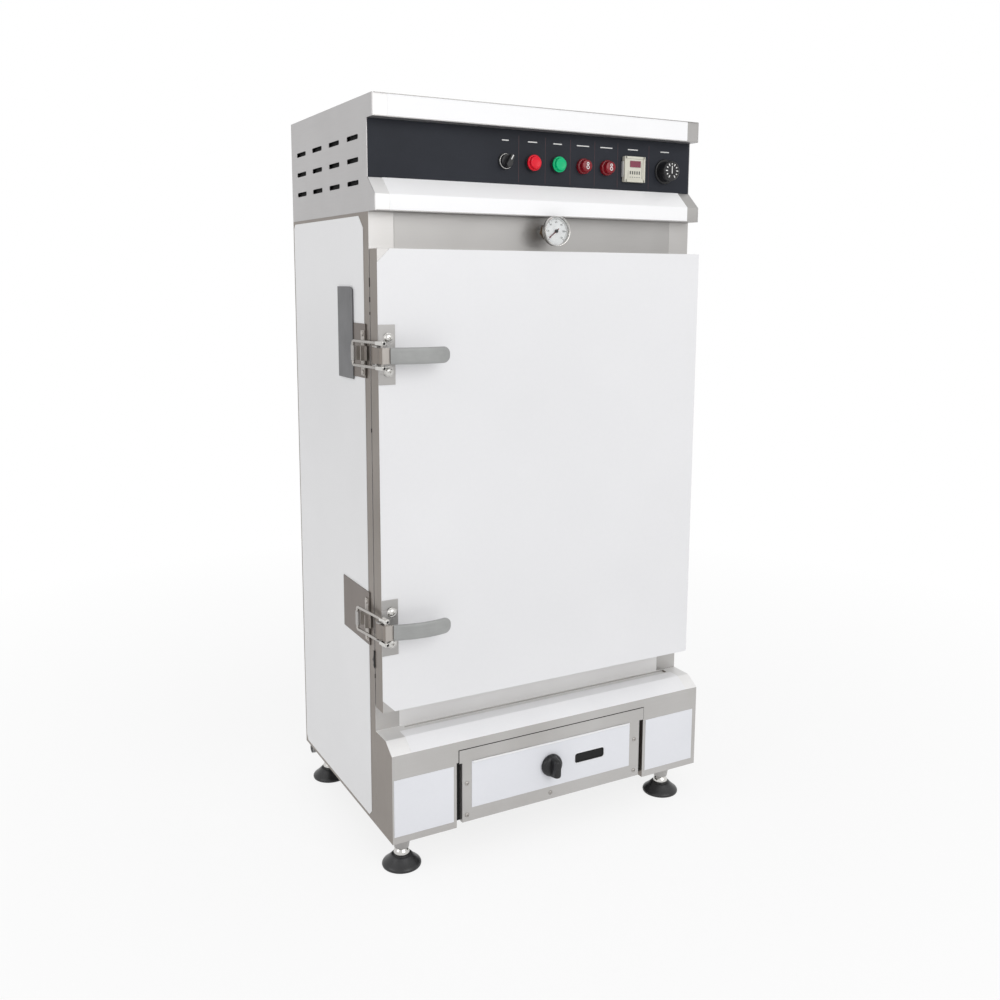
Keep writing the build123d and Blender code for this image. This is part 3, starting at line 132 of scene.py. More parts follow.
def noise(tree, coords, scale, stretch=(1, 1, 1), detail=3.0):
    """Noise in the piece's own frame, stretched along an axis by a small number there."""
    mapping = node(tree, "ShaderNodeMapping")
    mapping.inputs["Scale"].default_value = stretch
    tree.links.new(coords, mapping.inputs["Vector"])
    texture = node(tree, "ShaderNodeTexNoise", Scale=scale, Detail=detail)
    tree.links.new(mapping.outputs["Vector"], texture.inputs["Vector"])
    return texture.outputs["Fac"]


def spread(tree, value, low, high, start=0.3, end=0.7):
    """Value ranged from low to high while it goes from start to end."""
    limits = {"From Min": start, "From Max": end, "To Min": low, "To Max": high}
    ranged = node(tree, "ShaderNodeMapRange", **limits)
    tree.links.new(value, ranged.inputs["Value"])
    return ranged.outputs["Result"]


look = {}


def surface(name, dark, light, rough, metallic=0.0, patch=5.0, grain=(1, 1, 1), grain_scale=400.0,
            grain_share=0.35, bump=0.02, edge=0.0006, **shader_values):
    """Material between two tones by cloudy patches and grain, with a fine bump and eased edges."""
    made = bpy.data.materials.new(name)
    made.use_nodes = True
    tree = made.node_tree
    link = tree.links.new
    shader = tree.nodes["Principled BSDF"]
    coords = node(tree, "ShaderNodeTexCoord").outputs["Object"]
    patches = noise(tree, coords, patch)
    lines = noise(tree, coords, grain_scale, grain, 4.0)
    blend = node(tree, "ShaderNodeMix", data_type="FLOAT")
    blend.inputs["Factor"].default_value = grain_share
    link(patches, blend.inputs["A"])
    link(lines, blend.inputs["B"])
    factor = spread(tree, blend.outputs["Result"], 0.0, 1.0)
    colour = node(tree, "ShaderNodeMix", data_type="RGBA")
    colour.inputs["A"].default_value = (*dark, 1)
    colour.inputs["B"].default_value = (*light, 1)
    link(factor, colour.inputs["Factor"])
    link(colour.outputs["Result"], shader.inputs["Base Color"])
    low, high = rough
    link(spread(tree, lines, low, high), shader.inputs["Roughness"])
    relief = node(tree, "ShaderNodeBump", Strength=bump, Distance=0.001)
    link(lines, relief.inputs["Height"])
    if edge:
        eased = node(tree, "ShaderNodeBevel", samples=4, Radius=edge)
        link(eased.outputs["Normal"], relief.inputs["Normal"])
    link(relief.outputs["Normal"], shader.inputs["Normal"])
    shader.inputs["Metallic"].default_value = metallic
    for key, value in shader_values.items():
        shader.inputs[key.replace("_", " ")].default_value = value
    look[name] = made


def steel(name, dark, light, rough=(0.34, 0.44), grain=(1, 1, 1), metallic=0.8, **more):
    """Brushed sheet steel, or another metal, with its grain along one axis."""
    surface(name, dark, light, rough, metallic=metallic, grain=grain, grain_scale=900.0, grain_share=0.22,
            bump=0.012, **more)


def film(name, dark, light, rough=(0.30, 0.38), patch=6.0, grain_scale=140.0):
    """White film or lacquer on a flat sheet, nearly smooth."""
    surface(name, dark, light, rough, patch=patch, grain_scale=grain_scale, grain_share=0.2, bump=0.01,
            edge=0.0003)


def plastic(name, dark, light, rough=(0.30, 0.42), **more):
    """Moulded plastic or rubber, also used for print and paint."""
    surface(name, dark, light, rough, patch=60.0, grain_scale=900.0, bump=0.03, **more)


def glass(name, colour):
    """Clear glass with faint smears."""
    made = bpy.data.materials.new(name)
    made.use_nodes = True
    tree = made.node_tree
    shader = tree.nodes["Principled BSDF"]
    shader.inputs["Base Color"].default_value = (*colour, 1)
    shader.inputs["Transmission Weight"].default_value = 1.0
    shader.inputs["IOR"].default_value = 1.2
    coords = node(tree, "ShaderNodeTexCoord").outputs["Object"]
    smears = noise(tree, coords, 90.0)
    tree.links.new(spread(tree, smears, 0.0, 0.06), shader.inputs["Roughness"])
    look[name] = made


ALONG_X = (0.02, 1, 1)
ALONG_Y = (1, 0.02, 1)
ALONG_Z = (1, 1, 0.02)

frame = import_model()

# Steels and other metals
steel("steel_front", (0.44, 0.425, 0.41), (0.54, 0.53, 0.52), grain=ALONG_X)
# Darker copy of the front steel for the front frame under the hood: painted shade
steel("steel_header_painted_shade", (0.36, 0.35, 0.34), (0.44, 0.43, 0.42), (0.38, 0.46), ALONG_X, metallic=0.7)
# Lighter steel for the flat tops of the base's ledge: painted light from above
steel("steel_painted_top_light", (0.70, 0.695, 0.69), (0.78, 0.775, 0.77), (0.42, 0.5), ALONG_X, metallic=0.45)
# Near-white steel for sills, slopes and the left halves of the hood and top cover: painted highlight
steel("steel_painted_highlight", (0.80, 0.79, 0.785), (0.87, 0.865, 0.86), (0.45, 0.55), ALONG_X, metallic=0.3)
steel("steel_side", (0.44, 0.43, 0.43), (0.50, 0.49, 0.49), grain=ALONG_Y)
# Darker brownish steel for faces turned to the left: painted shade
steel("steel_left_painted_shade", (0.205, 0.18, 0.16), (0.285, 0.255, 0.23), grain=ALONG_Z)
# Still darker brownish steel for the latch plates on the left side: painted shade
steel("steel_deep_painted_shade", (0.145, 0.122, 0.108), (0.20, 0.172, 0.155), grain=ALONG_Z)
steel("steel_inner", (0.46, 0.46, 0.46), (0.53, 0.53, 0.53), grain=ALONG_Z)
# Darker plate steel for plates, hinges, sockets and bare edge lines, also used as painted shade on the
# right halves of the hood and top cover
steel("steel_plate", (0.36, 0.35, 0.34), (0.44, 0.43, 0.42), grain=ALONG_Z)
steel("steel_polished", (0.52, 0.51, 0.49), (0.70, 0.69, 0.67), (0.12, 0.24), metallic=1.0)
steel("steel_wire", (0.30, 0.285, 0.27), (0.48, 0.46, 0.44), (0.2, 0.34), metallic=1.0)
steel("steel_latch", (0.36, 0.335, 0.31), (0.48, 0.45, 0.42), (0.3, 0.42), ALONG_Z)
steel("brass", (0.42, 0.28, 0.11), (0.62, 0.45, 0.20), (0.22, 0.38), metallic=1.0)
steel("bronze", (0.13, 0.085, 0.05), (0.24, 0.16, 0.09), (0.28, 0.42), metallic=0.9)
surface("cast_iron", (0.06, 0.058, 0.055), (0.13, 0.125, 0.12), (0.55, 0.75), metallic=0.6, patch=30.0,
        grain_scale=700.0, bump=0.3)

# White sheets: the door, the sides, and the film on the front, the hood and the base
film("white_door", (0.80, 0.80, 0.815), (0.84, 0.84, 0.855), (0.32, 0.40), 3.0, 120.0)
# Side film darker than the front: painted shade
film("white_side_painted_shade", (0.78, 0.78, 0.79), (0.82, 0.82, 0.83), (0.32, 0.40), 3.0, 120.0)
film("white_film", (0.84, 0.84, 0.86), (0.89, 0.89, 0.905))
# Top film lighter than the front: painted light from above
film("white_top_painted_light", (0.92, 0.92, 0.93), (0.945, 0.945, 0.955))
film("white_low", (0.77, 0.78, 0.82), (0.81, 0.82, 0.86))

# Control panel and its devices
surface("panel", (0.012, 0.014, 0.020), (0.022, 0.025, 0.034), (0.45, 0.55), patch=9.0, grain_scale=800.0,
        grain_share=0.3, bump=0.03, Specular_IOR_Level=0.2)
plastic("panel_line", (0.050, 0.014, 0.018), (0.085, 0.020, 0.026))
plastic("black", (0.008, 0.008, 0.009), (0.016, 0.016, 0.018), (0.25, 0.36), Specular_IOR_Level=0.4)
plastic("wiring", (0.42, 0.43, 0.43), (0.52, 0.53, 0.53))
plastic("red", (0.68, 0.003, 0.018), (0.80, 0.008, 0.030), (0.28, 0.36), Specular_IOR_Level=0.3)
plastic("green", (0.0, 0.42, 0.16), (0.001, 0.54, 0.22), (0.28, 0.36), Specular_IOR_Level=0.3)
plastic("lamp", (0.16, 0.003, 0.008), (0.27, 0.006, 0.014), (0.16, 0.24), Specular_IOR_Level=0.4)
# White for printed marks and pointers, also used for the painted glints in the lamps
plastic("mark", (0.74, 0.74, 0.73), (0.84, 0.84, 0.83))
plastic("cream", (0.60, 0.585, 0.50), (0.68, 0.665, 0.58))
plastic("timer_window", (0.15, 0.010, 0.035), (0.24, 0.020, 0.055), (0.1, 0.16), Coat_Weight=0.6)
plastic("dial", (0.78, 0.78, 0.78), (0.86, 0.86, 0.86))
plastic("ink", (0.015, 0.015, 0.015), (0.03, 0.03, 0.03))
plastic("needle", (0.10, 0.012, 0.012), (0.16, 0.02, 0.02))
glass("glass", (0.97, 0.98, 0.98))

# Grips, feet, seals, insulation, and black for painted shade in gaps and holes
surface("bar", (0.13, 0.13, 0.135), (0.19, 0.19, 0.195), (0.42, 0.55), metallic=0.3, patch=25.0,
        grain=ALONG_Z, grain_scale=300.0)
surface("grip", (0.29, 0.295, 0.29), (0.36, 0.365, 0.36), (0.42, 0.54), metallic=0.1, patch=30.0,
        grain=ALONG_X, grain_scale=350.0)
plastic("foot", (0.012, 0.012, 0.013), (0.026, 0.026, 0.028), (0.25, 0.4))
plastic("rubber", (0.02, 0.02, 0.02), (0.045, 0.044, 0.042), (0.5, 0.7))
surface("insulation", (0.60, 0.52, 0.34), (0.78, 0.72, 0.54), (0.85, 0.95), patch=60.0, grain_scale=300.0,
        grain_share=0.6, bump=0.5, edge=0)
# Near black put where there is only shade: painted shade
surface("dark_inside", (0.004, 0.004, 0.004), (0.008, 0.008, 0.008), (0.8, 0.95), edge=0)

# The model's nodes that keep their own shape, by what they are finished with
kept = {
    "steel_inner": ("chamber_walls", "water_tank", "tray_rack", "drain_pipe"),
    "steel_polished": ("heating_element", "pipe_stubs"),
    "steel_plate": ("foot_sockets", "hinge_cabinet_leaves", "hinge_door_leaves"),
    "insulation": ("cabinet_insulation", "door_insulation"),
    "rubber": ("door_gasket",),
    "cast_iron": ("gas_burner",),
    "brass": ("gas_line",),
    "black": ("cable_gland", "switch_housings", "thermostat_body"),
    "wiring": ("wiring_gear",),
    "glass": ("thermometer_glass",),
    "needle": ("thermometer_needle",),
    "timer_window": ("timer_window",),
    "panel": ("control_panel",),
}
for finish, names in kept.items():
    for name in names:
        for slot in frame["nodes"][name].material_slots:
            slot.material = look[finish]


def set_edges(bm, sharp=SHARP):
    """Smooth faces, with the edges that turn by more than the sharp angle kept crisp."""
    for face in bm.faces:
        face.smooth = True
    for edge in bm.edges:
        edge.smooth = len(edge.link_faces) == 2 and edge.calc_face_angle() < sharp


def finished(name, bm, finishes, body):
    """Turn a mesh into an object with its finishes, riding on a body."""
    mesh = bpy.data.meshes.new(name)
    bm.to_mesh(mesh)
    bm.free()
    for key in finishes:
        mesh.materials.append(look[key])
    made = bpy.data.objects.new(name, mesh)
    bpy.context.scene.collection.objects.link(made)
    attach(made, body)
    return made


def piece(name, bm, finish, body, replaces=()):
    """Make a visible piece from a mesh drawn in millimetres in the drawing frame."""
    bmesh.ops.recalc_face_normals(bm, faces=bm.faces)
    for vert in bm.verts:
        vert.co = row(vert.co)
    set_edges(bm)
    made = finished(name, bm, [finish] if isinstance(finish, str) else finish, body)
    if replaces:
        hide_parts(*replaces)


def cut_in_half(bm):
    """Sheet with its faces cut at mid-width, drawn anew in an order that is the same on every run."""
    parts = bm.verts[:] + bm.edges[:] + bm.faces[:]
    bmesh.ops.bisect_plane(bm, geom=parts, dist=0.000001, plane_co=row((0, 0, 0)), plane_no=(1, 0, 0))
    slant = Vector((1.0, sqrt(2), sqrt(3)))
    ordered = bmesh.new()
    twins = {}
    for vert in sorted(bm.verts, key=lambda vert: vert.co.dot(slant)):
        twins[vert] = ordered.verts.new(vert.co)
    for face in sorted(bm.faces, key=lambda face: face.calc_center_median().dot(slant)):
        corners = list(face.verts)
        start = corners.index(min(corners, key=lambda vert: vert.co.dot(slant)))
        ordered.faces.new([twins[vert] for vert in corners[start:] + corners[:start]])
    bm.free()
    ordered.normal_update()
    return ordered


def dressed(name, finish, width, by_face=None, halved=False):
    """A node's own shape with its folded and cut edges rounded, and a finish chosen face by face."""
    weld, flat = 0.00002, radians(0.6)
    source = frame["nodes"][name]
    bm = bmesh.new()
    bm.from_mesh(source.data)
    bmesh.ops.remove_doubles(bm, verts=bm.verts, dist=weld)
    bmesh.ops.dissolve_limit(bm, angle_limit=flat, verts=bm.verts, edges=bm.edges)
    turning = [e for e in bm.edges if len(e.link_faces) == 2 and e.calc_face_angle() > CREASE]
    bmesh.ops.bevel(bm, geom=turning, offset=width * MM, segments=2, profile=0.5, affect="EDGES",
                    clamp_overlap=True)
    if halved:
        bm = cut_in_half(bm)
    set_edges(bm, CREASE)
    if by_face:
        for face in bm.faces:
            face.material_index = by_face(face.normal, face.calc_center_median() / MM - SHIFT)
    made = finished(name + "_sheet", bm, finish, source["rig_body"])
    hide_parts(name)


def circle(bm, middle, across, up, radius, count):
    """Ring of points round a middle, from the across direction towards the up direction."""
    ring = []
    for i in range(count):
        angle = 2 * pi * i / count
        ring.append(bm.verts.new(middle + across * radius * cos(angle) + up * radius * sin(angle)))
    return ring


def skin(bm, rings, capped=True):
    """Faces between rings that follow each other, with the first and the last one closed."""
    for first, second in zip(rings, rings[1:]):
        for i in range(len(first)):
            j = (i + 1) % len(first)
            bm.faces.new((first[i], first[j], second[j], second[i]))
    if capped:
        bm.faces.new(rings[0][::-1])
        bm.faces.new(rings[-1])


def turned(bm, profile, centre, axes, segments=64, closed=False):
    """Surface of revolution through (radius, height) points round the outward axis of a local frame."""
    across, up, out = axes
    rings = []
    for radius, height in profile:
        middle = Vector(centre) + out * height
        if radius == 0:
            rings.append([bm.verts.new(middle)])
        else:
            rings.append(circle(bm, middle, across, up, radius, segments))
    pairs = list(zip(rings, rings[1:]))
    if closed:
        pairs.append((rings[-1], rings[0]))
    for first, second in pairs:
        for i in range(segments):
            j = (i + 1) % segments
            corners = [first[i % len(first)], first[j % len(first)], second[j % len(second)],
                       second[i % len(second)]]
            unique = list(dict.fromkeys(corners))
            if len(unique) > 2:
                bm.faces.new(unique)


def slab(bm, outline, centre, axes, low, high, bevel=0.0, segments=2):
    """Flat piece with the given outline in a local frame, its edges rounded where bevel is given."""
    across, up, out = axes
    layers = []
    for height in (low, high):
        middle = Vector(centre) + out * height
        layers.append([bm.verts.new(middle + across * u + up * v) for u, v in outline])
    bottom, top = layers
    faces = [bm.faces.new(bottom[::-1]), bm.faces.new(top)]
    count = len(outline)
    for i in range(count):
        j = (i + 1) % count
        faces.append(bm.faces.new((bottom[i], bottom[j], top[j], top[i])))
    if bevel:
        edges = {edge for face in faces for edge in face.edges if edge.calc_face_angle(0) > SHARP}
        bmesh.ops.bevel(bm, geom=list(edges), offset=bevel, segments=segments, profile=0.5,
                        affect="EDGES", clamp_overlap=True)


def rectangle(width, height, u=0.0, v=0.0):
    """Corners of a rectangle round a middle."""
    return [(u - width / 2, v - height / 2), (u + width / 2, v - height / 2),
            (u + width / 2, v + height / 2), (u - width / 2, v + height / 2)]


def rounded_rectangle(width, height, radius, u=0.0, v=0.0, steps=6):
    """Outline of a rectangle round a middle, with its corners rounded."""
    points = []
    for quarter, (side, rise) in enumerate(((1, 1), (-1, 1), (-1, -1), (1, -1))):
        for i in range(steps + 1):
            angle = pi / 2 * (quarter + i / steps)
            points.append((u + side * (width / 2 - radius) + radius * cos(angle),
                           v + rise * (height / 2 - radius) + radius * sin(angle)))
    return points


def turned_outline(points, degrees):
    """Outline turned anticlockwise round its origin."""
    angle = radians(degrees)
    return [(u * cos(angle) - v * sin(angle), u * sin(angle) + v * cos(angle)) for u, v in points]


def screw_head(bm, centre, axes, radius, height, recess=0.55, segments=40):
    """Domed screw head with a cross recess that reaches out to a share of the radius."""
    across, up, out = axes
    rings, dome, arm_share, drop, skirt_depth = 12, 2.6, 0.13, 0.4 * height, 0.3
    middle = bm.verts.new(Vector(centre) + out * (height - drop))
    grid = []
    for k in range(1, rings + 1):
        reach = radius * k / rings
        ring = []
        for i in range(segments):
            angle = 2 * pi * i / segments
            u, v = reach * cos(angle), reach * sin(angle)
            rise = height * sqrt(max(0.0, 1 - (k / rings) ** dome))
            if min(abs(u), abs(v)) < arm_share * radius and max(abs(u), abs(v)) < recess * radius:
                rise -= drop
            ring.append(bm.verts.new(Vector(centre) + across * u + up * v + out * rise))
        grid.append(ring)
    skirt = [bm.verts.new(v.co - out * skirt_depth) for v in grid[-1]]
    grid.append(skirt)
    for i in range(segments):
        bm.faces.new((middle, grid[0][i], grid[0][(i + 1) % segments]))
    skin(bm, grid, capped=False)
    bm.faces.new(skirt[::-1])


def rod(bm, points, radius, segments=20):
    """Round bar through points, with flat ends."""
    rings = []
    side = None
    for index, point in enumerate(points):
        before = points[max(index - 1, 0)]
        after = points[min(index + 1, len(points) - 1)]
        along = (Vector(after) - Vector(before)).normalized()
        side = along.orthogonal() if side is None else side - along * side.dot(along)
        side.normalize()
        rings.append(circle(bm, Vector(point), side, along.cross(side), radius, segments))
    skin(bm, rings)


def sheet_metal():
    """Folded sheets of the cabinet and the door. Each tone is an index in the sheet's own finishes;
    besides the plain one, the tones are painted light and painted shade, by how a face turns and where it
    sits.
    """
    plain, left, sill, ledge_painted_light = 0, 1, 2, 3
    lit_left_half, shaded_right_half = 1, 2
    side_turn, sill_top, ledge_bottom = -0.6, 250, 150

    # Faces turned to the left take the painted shade tone
    def left_face_painted_shade(normal, _):
        return left if normal.x < side_turn else plain

    # Front frame: painted shade on faces turned to the left, and a painted highlight on the sill below
    # sill_top
    def frame_tones(normal, place):
        if normal.x < side_turn:
            return left
        return sill if place.z < sill_top else plain

    # Hood and top cover: faces turned to the front get a painted highlight on the left half and darker
    # plate steel, painted shade, on the right half
    def hood_tones(normal, place):
        if normal.y < -0.3 and normal.z > -0.3:
            return lit_left_half if place.x < 0 else shaded_right_half
        return plain

    # Base: painted shade on faces turned to the left, a painted highlight on the upward slopes, and
    # painted light on the flat tops of the ledge
    def base_tones(normal, place):
        if normal.x < side_turn:
            return left
        if normal.z > 0.3 and place.z > ledge_bottom:
            return sill if normal.y < -0.2 else ledge_painted_light
        return plain

    dressed("side_panels", ["steel_front", "steel_left_painted_shade"], 0.4, left_face_painted_shade)
    dressed("front_frame", ["steel_header_painted_shade", "steel_left_painted_shade", "steel_painted_highlight"], 0.4, frame_tones)
    dressed("base_housing", ["steel_front", "steel_left_painted_shade", "steel_painted_highlight", "steel_painted_top_light"], 0.5, base_tones)
    dressed("burner_panel", ["steel_front"], 0.4)
    dressed("hood", ["steel_front", "steel_painted_highlight", "steel_plate"], 0.5, hood_tones, halved=True)
    dressed("top_cover", ["steel_side", "steel_painted_highlight", "steel_plate"], 0.5, hood_tones, halved=True)
    dressed("control_box_sides", ["steel_side"], 0.3)
    dressed("back_panel", ["steel_side"], 0.4)
    dressed("door_shell", ["steel_front", "steel_left_painted_shade"], 1.0, left_face_painted_shade)
    dressed("door_inner_pan", ["steel_inner"], 0.4)
    dressed("latch_door_plates", ["steel_plate"], 0.4)
    dressed("latch_brackets", ["steel_plate"], 0.3)
    dressed("latch_keepers", ["steel_latch"], 0.3)
    # The latch plates on the left side take the darkest steel: painted shade
    dressed("latch_side_plates", ["steel_deep_painted_shade"], 0.3)


def white_sheets():
    """White facing film on the cabinet and the door, in tones by place: painted shade on the sides,
    painted light on the top, and a darker, bluer tone low on the base.
    """
    film_edge, base_top, hood_bottom = 0.12, 130, 1140
    front, side, low, high = 0, 1, 2, 3

    def tones(_, place):
        if abs(place.x) > HALF_WIDTH - 0.5:
            return side
        if place.z < base_top:
            return low
        return high if place.z > hood_bottom else front

    dressed("cabinet_facings", ["white_film", "white_side_painted_shade", "white_low", "white_top_painted_light"], film_edge, tones)
    dressed("door_facing", ["white_door"], film_edge)


def latch_grip(name, z):
    """Curved grip: a flat bar with crowned faces and a round end, bowed outward between its ends."""
    start, end, swell, bow = -339.0, -229.0, 3.0, -10.0
    width, thickness, corner, stations, tip_stations, around = 29.0, 9.0, 13.0, 24, 16, 36
    side_power, face_power, tip_depth = 0.36, 0.62, 0.55
    lever_y = LINK[1] - 5.0
    length = end - start
    straight = 1 - corner / length
    shares = [straight * k / stations for k in range(stations)]
    for k in range(tip_stations + 1):
        shares.append(straight + (1 - straight) * sin(pi / 2 * k / tip_stations))
    bm = bmesh.new()
    rings = []
    for t in shares:
        x = start + length * t
        y = lever_y - swell * t + bow * 4 * t * (1 - t)
        slope = atan2(-swell + bow * 4 * (1 - 2 * t), length)
        left_over = end - x
        half = width / 2
        depth = thickness / 2
        if left_over < corner:
            half -= corner - sqrt(max(0.0, corner ** 2 - (corner - left_over) ** 2))
            taper = sqrt(max(0.0, 1 - (1 - left_over / corner) ** 4))
            depth *= tip_depth + (1 - tip_depth) * taper
        ring = []
        for i in range(around):
            angle = 2 * pi * i / around
            u = abs(cos(angle)) ** side_power * (1 if cos(angle) > 0 else -1) * half
            v = abs(sin(angle)) ** face_power * (1 if sin(angle) > 0 else -1) * depth
            ring.append(bm.verts.new((x - v * sin(slope), y + v * cos(slope), z + u)))
        rings.append(ring)
    skin(bm, rings)
    piece(name + "_grip_moulded", bm, "grip", name + "_lever", replaces=[name + "_latch_grip"])


def arc(centre, radius, first, last, steps=12):
    """Points round a centre from one angle to another, in degrees."""
    points = []
    for k in range(steps + 1):
        angle = radians(first + (last - first) * k / steps)
        points.append((centre[0] + radius * cos(angle), centre[1] + radius * sin(angle)))
    return points


def latch_lever(name, z):
    """Lever folded from sheet: a flat front that wraps round the link and the pivot."""
    front, sheet, half, grip_start = -68.25, 2.5, 14.0, -338.0
    link_radius, pivot_radius, step = 6.25, 6.5, 5.6
    outline = [(grip_start, front)]
    outline += arc(LINK, link_radius, -90, -200)
    outline += arc(PIVOT, pivot_radius, -200, -360)
    outline += [(LINK[0] + step, LINK[1] + 3), (LINK[0] + step, front + sheet + 1.5),
                (LINK[0] + step + 1.5, front + sheet), (grip_start, front + sheet)]
    bm = bmesh.new()
    slab(bm, outline, (0, 0, z), UPWARD, -half, half, 0.3, 1)
    bmesh.ops.recalc_face_normals(bm, faces=bm.faces)
    # Faces of the lever turned to the left take the darker steel: painted shade
    for face in bm.faces:
        face.material_index = 1 if face.normal.x < -0.5 else 0
    finishes = ["steel_latch", "steel_left_painted_shade"]
    piece(name + "_lever_sheet", bm, finishes, name + "_lever", replaces=[name + "_latch_lever"])


def latch_bail(name, z):
    """Bail: two rods in square hollow end blocks, a pin through the lever and the bar at the keeper."""
    spacing, radius, corner, cut = 43.0, 2.8, 4.0, 1.2
    start, end = Vector((*LINK, z)), Vector((*BAIL_END, z))
    along = (end - start).normalized()
    upright = Vector((0, 0, 1))
    axes = (upright.cross(along), upright, -along)
    lift = upright * (spacing / 2)
    bm = bmesh.new()
    loop = []
    for sign in (1, -1):
        top = lift * sign
        inward = upright * sign * corner
        half_loop = [start + top, end + top - along * corner, end + top - inward * 0.3 - along * cut,
                     end + top - inward]
        loop += half_loop[::sign]
    rod(bm, loop, radius)
    rod(bm, [start + lift, start - lift], radius)
    piece(name + "_bail_wire", bm, "steel_wire", name + "_bail", replaces=[name + "_latch_bail"])
    blocks = bmesh.new()
    hole_shade = bmesh.new()
    for sign in (-1, 1):
        centre = start + lift * sign + along * 5
        slab(blocks, rectangle(9, 6.6), centre, axes, -12, 10, 0.6)
        turned(blocks, [(3.1, 9.5), (3.3, 11.2), (2.5, 11.6), (2.3, 10.2), (2.3, 9)], centre, axes, 24)
        # Black discs inside the blocks' hollow ends: painted shade
        turned(hole_shade, [(0, 9.8), (2.35, 9.8), (2.35, 10.3), (0, 10.3)], centre, axes, 20)
    piece(name + "_bail_blocks", blocks, "steel_polished", name + "_bail")
    piece(name + "_bail_hole_painted_shade", hole_shade, "dark_inside", name + "_bail")
    sleeve = bmesh.new()
    slab(sleeve, rounded_rectangle(6.0, 10.0, 2.6), end, UPWARD, -13.5, 13.5, 0.4)
    piece(name + "_bail_sleeve", sleeve, "steel_plate", name + "_bail")


def latch_screws():
    """Screws with washers on the door plates, and the pins that the levers turn on."""
    screw_x, screw_y, rise = -HALF_WIDTH + 18, -41.7, 29.0
    washer = [(0, 0), (9.4, 0), (9.4, 0.8), (0, 0.8)]
    pin = [(0, -15.3), (2.9, -15.3), (3.5, -14.8), (3.5, 14.8), (2.9, 15.3), (0, 15.3)]
    bm = bmesh.new()
    for z in LATCH_ZS.values():
        for side in (-1, 1):
            centre = (screw_x, screw_y, z + side * rise)
            turned(bm, washer, centre, FRONT, 40)
            screw_head(bm, centre, FRONT, 8.5, 5.0, 0.3)
        turned(bm, pin, (*PIVOT, z), UPWARD, 28)
    piece("latch_screws", bm, "steel_polished", "door", replaces=["latch_fasteners"])


def backing_bar():
    """Flat dark bar behind the upper keeper, with one rounded top corner."""
    seat, high, low = -HALF_WIDTH - FILM - 1.5, LATCH_ZS["upper"] + 117, LATCH_ZS["upper"] - 51
    front, back, corner, thickness, steps = 76.0, 152.0, 16.0, 1.5, 6
    outline = [(-back, low), (-front, low)]
    for i in range(steps + 1):
        angle = pi / 2 * i / steps
        rise = corner * 0.5 * (sin(angle) - 1)
        outline.append((-front - corner + corner * cos(angle), high + rise))
    outline.append((-back, high))
    bm = bmesh.new()
    slab(bm, outline, (seat, 0, 0), LEFT, 0, thickness, 0.4)
    piece("backing_bar", bm, "bar", "cabinet", replaces=["latch_backing_bar"])


def latches():
    """Both latches, their screws and the bar behind the upper one."""
    for name, z in LATCH_ZS.items():
        latch_lever(name, z)
        latch_grip(name, z)
        latch_bail(name, z)
    latch_screws()
    backing_bar()


def button_caps():
    """Red stop button and green start button: a flanged cap with a dished crown on a stem."""
    stem, rear = 4.4, 5.5
    caps = (("red", RED_X, "red_button", "stop_button"),
            ("green", GREEN_X, "green_button", "start_button"))
    flange = [(0, rear - 2), (stem, rear - 2), (stem, rear), (BEZEL_RADIUS - 0.5, rear),
              (BEZEL_RADIUS, rear + 0.5), (BEZEL_RADIUS, rear + 3), (13.6, rear + 4), (12.2, rear + 4.2)]
    crown = [(11.9, rear + 3.4), (CROWN_RADIUS, rear + 3.6), (11.3, rear + 9), (10.6, rear + 9.8),
             (9.6, rear + 10), (8.9, rear + 9.5), (4.0, rear + 9.25), (0, rear + 9.2)]
    for finish, x, cad, body in caps:
        bm = bmesh.new()
        turned(bm, flange + crown, (x, PANEL_Y, DEVICE_Z), FRONT, 72)
        piece(finish + "_cap", bm, finish, body, replaces=[cad])


def pilot_lamps():
    """Dark red lamps, with two white rings under each lens: painted glints."""
    barrel, barrel_end, lens_face = 11.2, -30, 18
    profile = [(0, barrel_end), (barrel, barrel_end), (barrel, 0), (BEZEL_RADIUS, 0), (BEZEL_RADIUS, 6.2),
               (13.5, 7.6), (12.0, 8), (11.6, 7.4), (CROWN_RADIUS, 15.5), (10.4, 17.4), (8.6, lens_face),
               (0, lens_face)]
    lamps = bmesh.new()
    glints = bmesh.new()
    glint_width, glint_height = 1.5, 0.22
    for x in LAMP_XS:
        turned(lamps, profile, (x, PANEL_Y, DEVICE_Z), FRONT, 72)
        for rise, radius in ((3.9, 2.9), (-2.9, 3.5)):
            inner = radius - glint_width
            ring = [(radius, 0), (radius, glint_height), (inner, glint_height), (inner, 0)]
            turned(glints, ring, (x + 0.6, PANEL_Y - 17.95, DEVICE_Z + rise), FRONT, 36, closed=True)
    piece("lamp_bodies", lamps, "lamp", "cabinet", replaces=["pilot_lamps"])
    piece("lamp_painted_glints", glints, "mark", "cabinet")


def selector():
    """Selector knob: a round base, a narrow handle and its pointer line, turned to the left."""
    centre = (SELECTOR_X, PANEL_Y, DEVICE_Z)
    turn, top = -30, 22
    profile = [(0, SPINDLE_END), (SPINDLE_RADIUS, SPINDLE_END), (SPINDLE_RADIUS, 2.8), (12.0, 2.8),
               (12.5, 3.4), (12.5, 8.6), (11.6, 10), (0, 10)]
    bm = bmesh.new()
    turned(bm, profile, centre, FRONT, 64)
    slab(bm, turned_outline(rounded_rectangle(7.6, 24.0, 2.8), turn), centre, FRONT, 9, top, 1.3, 3)
    piece("selector_handle", bm, "black", "selector", replaces=["selector_knob"])
    bm = bmesh.new()
    slab(bm, turned_outline(rectangle(1.8, 9, 0, 6.5), turn), centre, FRONT, top - 0.1, top + 0.15)
    piece("selector_pointer", bm, "mark", "selector")


